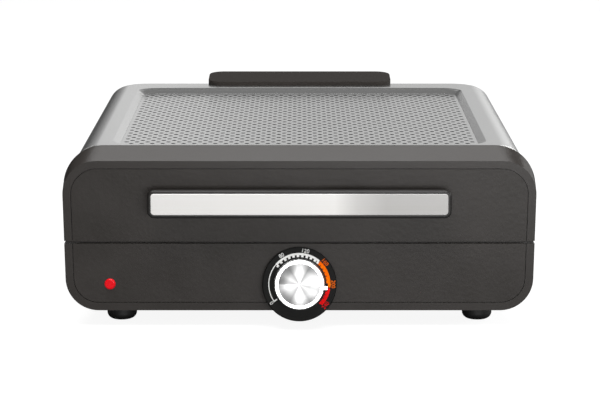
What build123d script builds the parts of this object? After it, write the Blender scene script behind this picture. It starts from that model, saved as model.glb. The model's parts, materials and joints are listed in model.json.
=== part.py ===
"""Electric griddle with a hinged, perforated splatter lid.

Millimetres, +Z up, front of the appliance towards -Y, origin on the floor
under the middle of the whole object. Depths are measured back from the flat
of the front panel and turned into Y by depth_y().
"""
import os
from math import cos, radians, sin

from build123d import *

os.makedirs("parts", exist_ok=True)

# ---------------------------------------------------------------- overall body
body_width = 396.0            # lid shell and base shell, behind the front panel
body_depth = 418.0            # front panel face to rear wall
body_bottom = 15.2            # underside of the base
body_top = 160.8              # flat rim of the lid
base_top = 75.5               # top edge of the base
body_half = body_width / 2
lid_gap = 2.4                 # open line between base and lid
rear_corner = 40.0            # plan radius of the two rear corners
edge_radius = 21.0            # rolled top edge of the lid, bottom edge of the base

# ---------------------------------------------------------------- front panel
panel_half_low = body_half + 7.7        # half width at the bottom edge
panel_draft = 0.0178          # widening of each side per millimetre of height
panel_depth = 14.0            # front face to the shells behind
brow_depth = 12.0             # sloped band above the face
face_top = body_top - 11.6    # top edge of the flat face
face_radius = 30.0
brow_top = body_top + 0.2
brow_radius = 36.0
panel_low_radius = 29.0
panel_wall = 3.0              # rim walls of the front mouldings
brow_wall_share = 1.35        # height of the sloped wall over its thickness
panel_front_wall = 5.0        # face thickness, fascia seat included
rib_depth = 4.0               # rib under the lid's panel that closes the open line to light
rib_thickness = 2.0
rib_clearance = 0.3
rib_inset = 1.0
fascia_inset = 7.0            # groove line, in from the panel's outline
fascia_groove = 0.5           # width of the groove round the fascia
fascia_thickness = 2.2
face_drop = 6.7               # groove line below the top edge of the face

# ---------------------------------------------------------------- shells
lid_sheet = 1.2
base_wall = 3.0
base_split = 25.0             # the walls' part of the base, in from its outside
shell_flange = 20.0           # inward flange that the front panel screws to
flange_thickness = 3.0
recess_half = body_half - 32.0          # pressed recess in the lid, at the rim
recess_front = 19.0
recess_rear = body_depth - 52.0
recess_depth = 4.5
recess_slope = 6.0            # plan width of the side slopes
recess_slope_ends = 9.5       # plan width of the front and rear slopes
recess_corner = 20.0
mesh_ledge = 4.0              # flange under the mesh

# ---------------------------------------------------------------- mesh
mesh_thickness = 1.0
mesh_pitch = 9.4
mesh_row_pitch = mesh_pitch * sin(radians(60))
mesh_hole_radius = 2.1
mesh_side_margin = 4.5        # least width without holes' centres at each side
mesh_front_margin = 13.5      # first row's centres behind the recess floor's front
mesh_rear_margin = 12.5

# ---------------------------------------------------------------- handle
handle_reach = 23.0           # furthest point in front of the panel
handle_strip_width = body_width - 138.0
handle_strip_height = 18.9
handle_z = body_top - 45.9
handle_border = 3.0
handle_bar_thickness = 8.0
handle_strip_proud = 0.4
handle_strip_thickness = 1.4
handle_post_x = handle_strip_width / 2 - 25.0
handle_post_width = 18.0
handle_post_height = 15.0
handle_post_corner = 4.0
handle_corner = 3.0           # corners of the metal strip
handle_edge = 2.0             # rounding of the bar's front and back edges
handle_strip_bevel = 0.5
handle_thread = 3.0           # screw length inside the bar

# ---------------------------------------------------------------- controls
dial_z = base_top - 36.3      # axis of the controls, where it meets the panel face
dial_tilt = 11.0              # the axis rises by this towards the front
dial_radius = 32.7
dial_thickness = 8.5          # along the axis
knob_radius = 22.6
knob_crown_radius = 21.8
knob_face_radius = 18.5
knob_gap = 0.6
knob_height = 9.6
knob_shadow_groove = 0.5
pointer_angle = -7.5
shaft_radius = 3.0
shaft_running_clearance = 0.05
shaft_open_clearance = 0.6
bushing_radius = 5.0
collar_clearance = 0.4
thermostat_width = 30.0
thermostat_height = 30.0
thermostat_front = 10.0
thermostat_depth = 18.0
thermostat_sheet = 1.5
thermostat_corner = 2.0
thermostat_screw_x = 20.5
thermostat_screw_end = 3.0    # screws end this far behind the panel face
thermostat_boss_root = 3.9    # bosses start inside the face's thickness
thermostat_notch = 4.0        # flange cut away round the thermostat
bracket_side = 5.0            # bracket beyond its screws
bracket_rise = 2.0            # bracket beyond the thermostat
bracket_corner = 3.0
dial_screw_x = 28.5
dial_edge = 1.0
dial_thread = 4.0
collar_front = 1.4            # front end of the thermostat's collar
knob_recess = 0.9
knob_wall = 3.9
knob_hub_radius = 6.0
knob_hub_set = 2.0            # hub's rear end, inside the skirt
knob_edge = 0.8
cap_thickness = 1.2
pointer_width = 3.6
pointer_inner = 19.5          # insert in the skirt, out to a small tab
pointer_outer = 24.8
shaft_flat = 0.7              # depth of the flat on the shaft
shaft_front_cover = 1.0       # knob face in front of the shaft's end
shaft_blind = 0.5             # shaft's rear end to the blind hole's end
shaft_hole_depth = 10.0       # blind hole inside the thermostat
clip_thickness = 0.8
clip_radius = 5.0
indicator_dome = 1.8
indicator_dome_edge = 1.5
indicator_barrel = 6.5
lamp_flange_radius = 6.2
lamp_radius = 3.6
lamp_flange = 1.5
lamp_length = 13.0
indicator_x = 31.0 - body_half
indicator_z = dial_z
indicator_radius = 4.85
indicator_barrel_radius = 4.2

# ---------------------------------------------------------------- base inside
deck_top = base_top - 2.5
deck_thickness = 3.0
ledge_width = 8.0
ledge_height = 4.0
deck_screw_inset = 7.5        # from the outside of the base
bumper_radius = 3.0
bumper_gap = 0.2
bumper_inset = 10.5           # from the outside of the base
bumper_depths = (60.0, body_depth - 68.0)
rim_frame_width = 10.0
skirt_inset = 3.8             # light skirt, from the outside of the lid
skirt_thickness = 3.0
skirt_overlap = 0.4           # below the top edge of the base
rim_frame_height = 6.0
rim_frame_rise = 0.6          # above the lid's lower edge
plate_width = body_width - 32.0         # over the flange
plate_depth = body_depth - 74.0
plate_centre = body_depth / 2 - 4.0     # depth of the middle of the plate
deck_screw_depths = (plate_centre - 95.0, plate_centre + 95.0)
plate_flange = 10.0
plate_flange_thickness = 4.0
plate_bottom = base_top - 18.5
plate_floor = 5.0
plate_wall = 5.0
plate_corner = 30.0
plate_seat_clearance = 2.5
drain_radius = 6.0
drain_inset = 14.0            # drain hole from the plate's inner rear wall
pan_sheet = 1.0
pan_bottom = base_top - 31.5
pan_flange = 8.0
element_radius = 3.25
element_z = base_top - 23.0
element_bend = 25.0
element_terminal_x = 25.0
element_reach_x = plate_width / 2 - 42.0
element_inner_x = 50.0
element_front = 75.0
element_rear = plate_centre + plate_depth / 2 - 47.0
element_turn = 130.0
element_terminal_depth = 31.0
terminal_pin_radius = 1.6
terminal_pin_length = 9.0
element_hole_clearance = 0.35
element_plate_size = (16.0, 12.0)
element_plate_corner = 3.0
element_plate_sheet = 1.5
clip_width = 12.0
clip_sheet = 3.0
bulb_radius = 3.0
bulb_front = 180.0
bulb_rear = 240.0
bulb_z = base_top - 22.0
capillary_radius = 1.0
capillary_z = base_top - 28.9
capillary_turn = 33.0         # depth where it turns up to the thermostat
capillary_lap = 1.0           # inside the bulb
capillary_hole_radius = 1.5
capillary_step = 20.0
capillary_bend = 10.0
element_clip_depths = (element_turn + 30.0, element_rear - 40.0)
fuse_x = 62.0
fuse_z = base_top - 20.5
fuse_width = 24.0
fuse_height = 8.0
fuse_depth = 6.0
fuse_corner = 2.0
pan_thread = 2.2
bumper_edge = 1.0
plate_under_edge = 4.0
plate_rim_edge = 1.2
plate_well_edge = 4.0
pan_drain_radius = 9.0

# ---------------------------------------------------------------- drip tray
tray_width = 140.0
tray_depth = 86.0
tray_height = 19.0
tray_wall = 2.0
tray_clearance = 1.0
tray_front_plate = 5.0
tray_floor_gap = 0.2
tray_plate_overlap = 6.0      # rear plate beyond the slot, each side
tray_plate_height = 27.0
tray_plate_gap = 0.4
tray_pull_width = 60.0
tray_pull_reach = 7.0
tray_pull_thickness = 3.0
tray_plate_corner = 3.0

# ---------------------------------------------------------------- hinge
axis_depth = body_depth + 10.0
axis_z = body_top - 14.8
pin_radius = 3.0
pin_running_clearance = 0.05
knuckle_radius = 8.5
barrel_radius = 6.5
barrel_length = 30.0
barrel_x = 60.0               # middle of each lid barrel
barrel_side_gap = 0.5
ear_thickness = 9.0
tower_half = 85.0
tower_bottom = base_top - 25.5
tower_front_gap = 1.2
tower_depth = 20.0
tower_wall = 3.0
tower_drop = 9.0              # housing top below the hinge axis
cover_half = 95.2
cover_front = body_depth - 33.5
cover_rear = body_depth + 22.0
cover_front_height = 3.9
cover_rear_height = 7.4
cover_corner = 15.0
cover_wall = 2.0
bracket_sheet = 1.8
bracket_front = body_depth - 31.0
bracket_screw_inset = 5.0
bracket_screw_step = 9.0      # screws to each side of the barrel's middle
bracket_web = 4.0
cover_top_wall = 1.8
cover_edge = 0.8
tower_screw_x = 70.0
tower_inner_x = 25.0
tower_corner = 5.0
tower_boss_length = 14.0
pin_chamfer = 0.5
tower_screw_z = tower_bottom + 8.0
tower_thread = 8.0
tower_hole_depth = 10.0

# ---------------------------------------------------------------- feet and cord
foot_x = body_half - 38.5
foot_front = 35.0
foot_rear = body_depth - 40.0
foot_radius = 13.3
foot_edge = 6.0
foot_thread = 9.0
gland_x = 68.0 - body_half
gland_z = base_top - 27.5
gland_flange = 3.0
gland_bore = 4.0
gland_radius = 6.5
gland_flange_radius = 9.5
gland_length = 14.0
gland_rear = body_depth + 7.0
gland_edge = 1.0
block_front = body_depth - 41.0
block_depth = 18.0
block_width = 24.0
block_rise = 4.2              # block's top above the wires' axes
block_screw_radius = 1.6
block_screw_depth = 6.0
wire_radius = 1.3
wire_pitch = 6.0
wire_z = dial_z - 7.2
wire_bend = 6.0
live_front = 20.0
neutral_front = 25.0
earth_stud = 210.0

# ---------------------------------------------------------------- underside
bottom_cover_width = body_width - 96.0
bottom_cover_depth = body_depth - 178.0
bottom_centre = body_depth / 2 - 14.0
bottom_lap = 12.0             # cover beyond the opening in the base
bottom_corner = 10.0
bottom_sheet = 1.2
bottom_boss_height = 5.0
bottom_screw_side = 6.0       # screws in from the cover's sides
bottom_screw_end = 10.0       # and from its front and rear
vent_pitch_x = 12.0
vent_pitch_y = 70.0
vent_columns = 15
vent_rows = 2
vent_length = 50.0
vent_width = 4.0
frame_side = 14.0             # front frame of the base shell, at the sides
frame_foot = 12.0             # and along the bottom

# ---------------------------------------------------------------- fasteners
screw_radius = 1.5
screw_hole_radius = 1.6
screw_head_radius = 3.0
screw_head_height = 1.8
screw_socket_radius = 1.3
screw_socket_depth = 1.0
boss_hole_depth = 8.0
thread_depth = 7.0            # screw length inside a boss
screw_end_gap = 1.0           # screw's end to the end of its hole
boss_radius = 4.0
fit_clearance = 0.1           # between two pieces of the same body

# Where the front panels screw to the shells behind.
lid_side_screw_inset = 9.0    # from the sides of the lid
lid_side_screw_rise = 14.1    # above the lid's lower edge
lid_top_screw_x = 95.0
lid_top_screw_drop = 13.8
base_side_screw_inset = 12.0
base_side_screw_drop = 13.5   # below the base's top edge
base_low_screw_x = 110.0
base_low_screw_rise = 7.3

lid_bottom = base_top + lid_gap
front_y = (handle_reach - cover_rear) / 2
recess_floor = body_top - recess_depth
tilt_run = cos(radians(dial_tilt))
tilt_rise = sin(radians(dial_tilt))


def depth_y(depth):
    """Y of a point that lies the given depth behind the panel face."""
    return front_y + depth


def face_plane(depth):
    """Upright plane at a depth, X to the right and Z up, normal to the front."""
    return Plane.XZ.offset(-depth_y(depth))


def dial_plane(reach):
    """Plane across the tilted axis of the controls, reach measured back along it from the panel face."""
    return Plane(
        (0, depth_y(reach * tilt_run), dial_z - reach * tilt_rise),
        x_dir=(1, 0, 0),
        z_dir=(0, -tilt_run, tilt_rise),
    )


def panel_outline(inset, top_z, top_radius):
    """Rounded outline of the front panel, drawn on X and Z, moved in by inset."""
    half_low = panel_half_low - inset
    half_high = half_low + (top_z - body_bottom) * panel_draft
    low_z = body_bottom + inset
    with BuildSketch(mode=Mode.PRIVATE) as outline:
        with BuildLine():
            Polyline(
                (-half_low, low_z), (half_low, low_z), (half_high, top_z), (-half_high, top_z),
                close=True,
            )
        make_face()
        fillet(outline.vertices().group_by(Axis.Y)[0], panel_low_radius - inset)
        fillet(outline.vertices().group_by(Axis.Y)[-1], top_radius)
    return outline.sketch


def plan_outline(inset, front):
    """Plan of the shells: square at the front, rounded at the rear corners."""
    half = body_half - inset
    rear = body_depth - inset
    with BuildSketch(mode=Mode.PRIVATE) as outline:
        with Locations((0, depth_y((front + rear) / 2))):
            Rectangle(2 * half, rear - front)
        fillet(outline.vertices().group_by(Axis.Y)[-1], rear_corner - inset)
    return outline.sketch


def rounded_plan(width, depth, radius, centre_depth):
    """Rounded rectangle in plan about a centre on the middle line."""
    with BuildSketch(mode=Mode.PRIVATE) as outline:
        with Locations((0, depth_y(centre_depth))):
            RectangleRounded(width, depth, radius)
    return outline.sketch


def screw_group(head_plane, spots, length):
    """Equal socket screws in the open part: heads stand on the plane, shanks go below it."""
    with BuildSketch(head_plane) as heads:
        with Locations(*spots):
            Circle(screw_head_radius)
    with BuildSketch(head_plane) as shanks:
        with Locations(*spots):
            Circle(screw_radius)
    with BuildSketch(head_plane.offset(screw_head_height)) as sockets:
        with Locations(*spots):
            RegularPolygon(screw_socket_radius, 6)
    extrude(heads.sketch, amount=screw_head_height)
    extrude(shanks.sketch, amount=-length)
    extrude(sockets.sketch, amount=-screw_socket_depth, mode=Mode.SUBTRACT)


def pilot_holes(plane, spots, length):
    """Screw holes cut into the open part, along the plane's normal when length is positive."""
    with BuildSketch(plane) as holes:
        with Locations(*spots):
            Circle(screw_hole_radius)
    extrude(holes.sketch, amount=length, mode=Mode.SUBTRACT)


def boss_group(plane, spots, length):
    """Round screw bosses added to the open part, along the plane's normal."""
    with BuildSketch(plane) as bosses:
        with Locations(*spots):
            Circle(boss_radius)
    extrude(bosses.sketch, amount=length)


# ================================================================ front panel
with BuildPart() as panel_block:
    with BuildSketch(face_plane(0)):
        add(panel_outline(0, face_top, face_radius))
    with BuildSketch(face_plane(brow_depth)):
        add(panel_outline(0, brow_top, brow_radius))
    loft(ruled=True)
    with BuildSketch(face_plane(panel_depth)):
        add(panel_outline(0, brow_top, brow_radius))
    extrude(amount=panel_depth - brow_depth)

brow_rise = (brow_top - face_top) / brow_depth
cavity_low_top = face_top + brow_rise * panel_front_wall - panel_wall * brow_wall_share

with BuildPart() as panel_cavity:
    with BuildSketch(face_plane(panel_front_wall)):
        add(panel_outline(panel_wall, cavity_low_top, face_radius - panel_wall))
    with BuildSketch(face_plane(panel_depth)):
        add(panel_outline(panel_wall, brow_top - panel_wall, brow_radius - panel_wall))
    loft(ruled=True)

fascia_top = face_top - face_drop
fascia_radius = face_radius - face_drop

with BuildPart() as fascia_pocket:
    with BuildSketch(face_plane(0)):
        add(panel_outline(fascia_inset, fascia_top, fascia_radius))
    extrude(amount=-fascia_thickness)

with BuildPart() as fascia_block:
    with BuildSketch(face_plane(0)):
        add(panel_outline(
            fascia_inset + fascia_groove, fascia_top - fascia_groove, fascia_radius - fascia_groove
        ))
    extrude(amount=-fascia_thickness)

lid_side_screw_x = body_half - lid_side_screw_inset
lid_side_screw_z = lid_bottom + lid_side_screw_rise
lid_top_screw_z = body_top - lid_top_screw_drop
base_side_screw_x = body_half - base_side_screw_inset
base_side_screw_z = base_top - base_side_screw_drop
base_low_screw_z = body_bottom + base_low_screw_rise
lid_screw_spots = [
    (-lid_side_screw_x, lid_side_screw_z), (lid_side_screw_x, lid_side_screw_z),
    (-lid_top_screw_x, lid_top_screw_z), (lid_top_screw_x, lid_top_screw_z),
]
base_screw_spots = [
    (-base_side_screw_x, base_side_screw_z), (base_side_screw_x, base_side_screw_z),
    (-base_low_screw_x, base_low_screw_z), (base_low_screw_x, base_low_screw_z),
]
handle_screw_spots = [(-handle_post_x, handle_z), (handle_post_x, handle_z)]
thermostat_screw_spots = [(-thermostat_screw_x, 0), (thermostat_screw_x, 0)]
dial_screw_spots = [(-dial_screw_x, dial_z), (dial_screw_x, dial_z)]
collar_hole_radius = bushing_radius + collar_clearance
bracket_depth = thermostat_front - thermostat_sheet
thermostat_hole_depth = bracket_depth - thermostat_screw_end + fit_clearance

with BuildPart() as lid_cavity_block:
    add(panel_cavity.part)
    split(bisect_by=Plane.XY.offset(lid_bottom + panel_wall), keep=Keep.TOP)

rib_half = panel_half_low + (lid_bottom - body_bottom) * panel_draft - rib_inset

with BuildPart() as lid_bezel:
    add(panel_block.part)
    split(bisect_by=Plane.XY.offset(lid_bottom), keep=Keep.TOP)
    add(lid_cavity_block.part, mode=Mode.SUBTRACT)
    add(fascia_pocket.part, mode=Mode.SUBTRACT)
    boss_group(face_plane(panel_depth), lid_screw_spots, panel_depth - panel_front_wall)
    pilot_holes(face_plane(panel_depth), lid_screw_spots, boss_hole_depth)
    pilot_holes(face_plane(0), handle_screw_spots, -panel_front_wall)
    with BuildSketch(Plane.XY.offset(lid_bottom)):
        with Locations((0, depth_y(rib_depth))):
            Rectangle(2 * rib_half, rib_thickness)
    extrude(amount=base_top + rib_clearance - lid_bottom)
lid_bezel.part.label = "lid_bezel"
export_step(lid_bezel.part, "parts/lid_bezel.step")

with BuildPart() as lid_fascia:
    add(fascia_block.part)
    split(bisect_by=Plane.XY.offset(lid_bottom), keep=Keep.TOP)
    pilot_holes(face_plane(0), handle_screw_spots, -fascia_thickness)
lid_fascia.part.label = "lid_fascia"
export_step(lid_fascia.part, "parts/lid_fascia.step")

with BuildPart() as base_cavity_block:
    add(panel_cavity.part)
    split(bisect_by=Plane.XY.offset(base_top - panel_wall), keep=Keep.BOTTOM)

with BuildPart() as base_bezel:
    add(panel_block.part)
    split(bisect_by=Plane.XY.offset(base_top), keep=Keep.BOTTOM)
    add(base_cavity_block.part, mode=Mode.SUBTRACT)
    add(fascia_pocket.part, mode=Mode.SUBTRACT)
    boss_group(face_plane(panel_depth), base_screw_spots, panel_depth - panel_front_wall)
    boss_group(dial_plane(bracket_depth), thermostat_screw_spots, bracket_depth - thermostat_boss_root)
    pilot_holes(face_plane(panel_depth), base_screw_spots, boss_hole_depth)
    pilot_holes(dial_plane(bracket_depth), thermostat_screw_spots, thermostat_hole_depth)
    pilot_holes(face_plane(0), dial_screw_spots, -panel_front_wall)
    with BuildSketch(face_plane(0)):
        with Locations((indicator_x, indicator_z)):
            Circle(indicator_barrel_radius + fit_clearance)
    extrude(amount=-panel_front_wall, mode=Mode.SUBTRACT)
    with BuildSketch(dial_plane(bracket_depth)):
        Circle(collar_hole_radius)
    extrude(amount=bracket_depth + panel_wall, mode=Mode.SUBTRACT)
base_bezel.part.label = "base_bezel"
export_step(base_bezel.part, "parts/base_bezel.step")

with BuildPart() as base_fascia:
    add(fascia_block.part)
    split(bisect_by=Plane.XY.offset(base_top), keep=Keep.BOTTOM)
    pilot_holes(face_plane(0), dial_screw_spots, -fascia_thickness)
    with BuildSketch(face_plane(0)):
        with Locations((indicator_x, indicator_z)):
            Circle(indicator_barrel_radius + fit_clearance)
    extrude(amount=-fascia_thickness, mode=Mode.SUBTRACT)
    with BuildSketch(dial_plane(bracket_depth)):
        Circle(collar_hole_radius)
    extrude(amount=bracket_depth + panel_wall, mode=Mode.SUBTRACT)
base_fascia.part.label = "base_fascia"
export_step(base_fascia.part, "parts/base_fascia.step")

# ===================================================================== handle
bar_front = handle_strip_proud - handle_reach
bar_back = bar_front + handle_bar_thickness
handle_bar_width = handle_strip_width + 2 * handle_border
handle_bar_height = handle_strip_height + 2 * handle_border
strip_seat = handle_strip_thickness - handle_strip_proud

with BuildPart() as handle_bar:
    with BuildSketch(face_plane(bar_back)):
        with Locations((0, handle_z)):
            RectangleRounded(handle_bar_width, handle_bar_height, handle_corner + handle_border)
    extrude(amount=handle_bar_thickness)
    fillet(handle_bar.edges().filter_by(Plane.XZ), handle_edge)
    with BuildSketch(face_plane(bar_front)):
        with Locations((0, handle_z)):
            RectangleRounded(
                handle_strip_width + 2 * fit_clearance,
                handle_strip_height + 2 * fit_clearance,
                handle_corner + fit_clearance,
            )
    extrude(amount=-strip_seat, mode=Mode.SUBTRACT)
    with BuildSketch(face_plane(0)):
        with Locations(*handle_screw_spots):
            RectangleRounded(handle_post_width, handle_post_height, handle_post_corner)
    extrude(amount=-bar_back)
    pilot_holes(face_plane(0), handle_screw_spots, -bar_back + handle_thread + fit_clearance)
handle_bar.part.label = "handle_bar"
export_step(handle_bar.part, "parts/handle_bar.step")

with BuildPart() as handle_strip:
    with BuildSketch(face_plane(bar_front + strip_seat)):
        with Locations((0, handle_z)):
            RectangleRounded(handle_strip_width, handle_strip_height, handle_corner)
    extrude(amount=handle_strip_thickness)
    chamfer(handle_strip.faces().sort_by(Axis.Y)[0].edges(), handle_strip_bevel)
handle_strip.part.label = "handle_strip"
export_step(handle_strip.part, "parts/handle_strip.step")

with BuildPart() as handle_screws:
    screw_group(
        face_plane(panel_front_wall).rotated((180, 0, 0)),
        [(x, -z) for x, z in handle_screw_spots],
        panel_front_wall - bar_back + handle_thread,
    )
handle_screws.part.label = "handle_screws"
export_step(handle_screws.part, "parts/handle_screws.step")

# ================================================================== lid shell
with BuildPart() as lid_outer:
    with BuildSketch(Plane.XY.offset(lid_bottom)):
        add(plan_outline(0, panel_depth))
    extrude(amount=body_top - lid_bottom)
    fillet(lid_outer.faces().sort_by(Axis.Z)[-1].edges().sort_by(Axis.Y)[1:], edge_radius)

with BuildPart() as lid_inside:
    with BuildSketch(Plane.XY.offset(lid_bottom)):
        add(plan_outline(lid_sheet, panel_depth + lid_sheet))
    extrude(amount=body_top - lid_sheet - lid_bottom)
    fillet(lid_inside.faces().sort_by(Axis.Z)[-1].edges().sort_by(Axis.Y)[1:], edge_radius - lid_sheet)

recess_centre = (recess_front + recess_rear) / 2
recess_length = recess_rear - recess_front
floor_width = 2 * (recess_half - recess_slope)
floor_length = recess_length - 2 * recess_slope_ends
floor_corner = recess_corner - recess_slope
mesh_seat = recess_floor - mesh_thickness

with BuildPart() as recess_press:
    with BuildSketch(Plane.XY.offset(body_top - lid_sheet / 2)):
        add(rounded_plan(
            2 * (recess_half + lid_sheet), recess_length + 2 * lid_sheet,
            recess_corner + lid_sheet, recess_centre,
        ))
    with BuildSketch(Plane.XY.offset(mesh_seat - lid_sheet)):
        add(rounded_plan(
            floor_width + 2 * lid_sheet, floor_length + 2 * lid_sheet,
            floor_corner + lid_sheet, recess_centre,
        ))
    loft(ruled=True)

with BuildPart() as recess_void:
    with BuildSketch(Plane.XY.offset(body_top)):
        add(rounded_plan(2 * recess_half, recess_length, recess_corner, recess_centre))
    with BuildSketch(Plane.XY.offset(recess_floor)):
        add(rounded_plan(floor_width, floor_length, floor_corner, recess_centre))
    loft(ruled=True)

hinge_screw_depth = bracket_front + bracket_screw_inset
hinge_screw_spots = [
    (side * barrel_x + step * bracket_screw_step, depth_y(hinge_screw_depth))
    for side in (-1, 1) for step in (-1, 1)
]
window_half = body_half - shell_flange
window_top = body_top - shell_flange

with BuildPart() as lid_shell:
    add(lid_outer.part)
    add(lid_inside.part, mode=Mode.SUBTRACT)
    add(recess_press.part)
    add(recess_void.part, mode=Mode.SUBTRACT)
    with BuildSketch(Plane.XY.offset(recess_floor)):
        add(rounded_plan(floor_width, floor_length, floor_corner, recess_centre))
    extrude(amount=-mesh_thickness, mode=Mode.SUBTRACT)
    with BuildSketch(Plane.XY.offset(mesh_seat)):
        add(rounded_plan(
            floor_width - 2 * mesh_ledge, floor_length - 2 * mesh_ledge,
            floor_corner - mesh_ledge, recess_centre,
        ))
    extrude(amount=-lid_sheet, mode=Mode.SUBTRACT)
    with BuildSketch(face_plane(panel_depth)):
        with Locations((0, (lid_bottom + window_top) / 2)):
            Rectangle(2 * window_half, window_top - lid_bottom)
    extrude(amount=-lid_sheet, mode=Mode.SUBTRACT)
    pilot_holes(face_plane(panel_depth), lid_screw_spots, -lid_sheet)
    pilot_holes(Plane.XY.offset(body_top), hinge_screw_spots, -lid_sheet)
lid_shell.part.label = "lid_shell"
export_step(lid_shell.part, "parts/lid_shell.step")

# The holes stand in rows along X, every second row half a pitch aside.
mesh_columns = int((floor_width - 2 * mesh_side_margin) / mesh_pitch) + 1
mesh_rows = int((floor_length - mesh_front_margin - mesh_rear_margin) / mesh_row_pitch) + 1
mesh_first_row = recess_front + recess_slope_ends + mesh_front_margin
mesh_spots = []
for row in range(mesh_rows):
    columns = mesh_columns - row % 2
    for column in range(columns):
        mesh_x = (column - (columns - 1) / 2) * mesh_pitch
        mesh_spots.append((mesh_x, depth_y(mesh_first_row + row * mesh_row_pitch)))

with BuildPart() as mesh_panel:
    with BuildSketch(Plane.XY) as mesh_face:
        add(Face(
            rounded_plan(
                floor_width - 2 * fit_clearance, floor_length - 2 * fit_clearance,
                floor_corner - fit_clearance, recess_centre,
            ).face().outer_wire(),
            [Wire.make_circle(mesh_hole_radius, Plane((x, y, 0))) for x, y in mesh_spots],
        ))
    extrude(mesh_face.sketch.moved(Location((0, 0, mesh_seat))), amount=mesh_thickness, dir=(0, 0, 1))
mesh_panel.part.label = "mesh_panel"
export_step(mesh_panel.part, "parts/mesh_panel.step")

with BuildPart() as lid_rim_frame:
    with BuildSketch(Plane.XY.offset(lid_bottom + rim_frame_rise)):
        add(plan_outline(lid_sheet, panel_depth + lid_sheet))
        add(
            plan_outline(lid_sheet + rim_frame_width, panel_depth + lid_sheet + rim_frame_width),
            mode=Mode.SUBTRACT,
        )
    extrude(amount=rim_frame_height)
    with BuildSketch(Plane.XY.offset(base_top - skirt_overlap)):
        add(plan_outline(skirt_inset, panel_depth + skirt_inset))
        add(
            plan_outline(skirt_inset + skirt_thickness, panel_depth + skirt_inset + skirt_thickness),
            mode=Mode.SUBTRACT,
        )
    extrude(amount=lid_bottom + rim_frame_rise + skirt_overlap - base_top)
lid_rim_frame.part.label = "lid_rim_frame"
export_step(lid_rim_frame.part, "parts/lid_rim_frame.step")

with BuildPart() as lid_screws:
    screw_group(
        face_plane(panel_depth + lid_sheet).rotated((180, 0, 0)),
        [(x, -z) for x, z in lid_screw_spots],
        lid_sheet + thread_depth,
    )
lid_screws.part.label = "lid_screws"
export_step(lid_screws.part, "parts/lid_screws.step")

# ================================================================ hinge on lid
cover_slope = (cover_rear_height - cover_front_height) / (cover_rear - cover_front)


def cover_solid(inset, top_inset):
    """Wedge-topped hinge cover on the lid rim, its walls and top moved in."""
    front = cover_front + inset
    rear = cover_rear - inset
    front_top = body_top + cover_front_height + cover_slope * inset - top_inset
    rear_top = body_top + cover_rear_height - cover_slope * inset - top_inset
    with BuildPart(mode=Mode.PRIVATE) as wedge:
        with BuildSketch(Plane.YZ):
            with BuildLine():
                Polyline(
                    (depth_y(front), body_top), (depth_y(rear), body_top),
                    (depth_y(rear), rear_top), (depth_y(front), front_top),
                    close=True,
                )
            make_face()
        extrude(amount=cover_half - inset, both=True)
        fillet(wedge.edges().filter_by(Axis.Z), cover_corner - inset)
    return wedge.part


with BuildPart() as hinge_cover:
    add(cover_solid(0, 0))
    fillet(hinge_cover.faces().sort_by(Axis.Z)[-1].edges(), cover_edge)
    add(cover_solid(cover_wall, cover_top_wall), mode=Mode.SUBTRACT)
hinge_cover.part.label = "hinge_cover"
export_step(hinge_cover.part, "parts/hinge_cover.step")

bracket_rear = axis_depth + bracket_web / 2

for side, arm_name in ((-1, "hinge_arm_left"), (1, "hinge_arm_right")):
    with BuildPart() as hinge_arm:
        with BuildSketch(Plane.YZ.offset(side * barrel_x)):
            with Locations((depth_y((bracket_front + bracket_rear) / 2), body_top + bracket_sheet / 2)):
                Rectangle(bracket_rear - bracket_front, bracket_sheet)
            with Locations((depth_y(axis_depth), (axis_z + body_top + bracket_sheet) / 2)):
                Rectangle(bracket_web, body_top + bracket_sheet - axis_z)
            with Locations((depth_y(axis_depth), axis_z)):
                Circle(barrel_radius)
                Circle(pin_radius + pin_running_clearance, mode=Mode.SUBTRACT)
        extrude(amount=barrel_length / 2, both=True)
        pilot_holes(Plane.XY.offset(body_top), hinge_screw_spots, bracket_sheet)
    hinge_arm.part.label = arm_name
    export_step(hinge_arm.part, f"parts/{arm_name}.step")

with BuildPart() as hinge_screws:
    screw_group(
        Plane.XY.offset(body_top - lid_sheet).rotated((180, 0, 0)),
        [(x, -y) for x, y in hinge_screw_spots],
        lid_sheet + bracket_sheet,
    )
hinge_screws.part.label = "hinge_screws"
export_step(hinge_screws.part, "parts/hinge_screws.step")

# ================================================================= base shell
with BuildPart() as base_outer:
    with BuildSketch(Plane.XY.offset(body_bottom)):
        add(plan_outline(0, panel_depth))
    extrude(amount=base_top - body_bottom)
    fillet(base_outer.faces().sort_by(Axis.Z)[0].edges().sort_by(Axis.Y)[1:], edge_radius)

with BuildPart() as base_inside:
    with BuildSketch(Plane.XY.offset(body_bottom + base_wall)):
        add(plan_outline(base_wall, panel_depth + flange_thickness))
    extrude(amount=base_top - body_bottom - base_wall)
    fillet(base_inside.faces().sort_by(Axis.Z)[0].edges().sort_by(Axis.Y)[1:], edge_radius - base_wall)

deck_bottom = deck_top - deck_thickness
base_floor = body_bottom + base_wall
foot_spots = [(side * foot_x, depth_y(depth)) for depth in (foot_front, foot_rear) for side in (-1, 1)]
deck_screw_spots = [
    (side * (body_half - deck_screw_inset), depth_y(depth))
    for depth in deck_screw_depths for side in (-1, 1)
]
bottom_screw_x = bottom_cover_width / 2 - bottom_screw_side
bottom_screw_reach = bottom_cover_depth / 2 - bottom_screw_end
cover_screw_spots = [
    (side * bottom_screw_x, depth_y(bottom_centre + end * bottom_screw_reach))
    for side in (-1, 1) for end in (-1, 1)
]
tower_screw_spots = [
    (side * x, tower_screw_z) for side in (-1, 1) for x in (tower_inner_x, tower_screw_x)
]
tray_slot_half = tray_width / 2 + tray_clearance
tray_slot_top = base_floor + tray_floor_gap + tray_height + tray_clearance
frame_window_half = body_half - frame_side
frame_window_bottom = body_bottom + frame_foot

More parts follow.
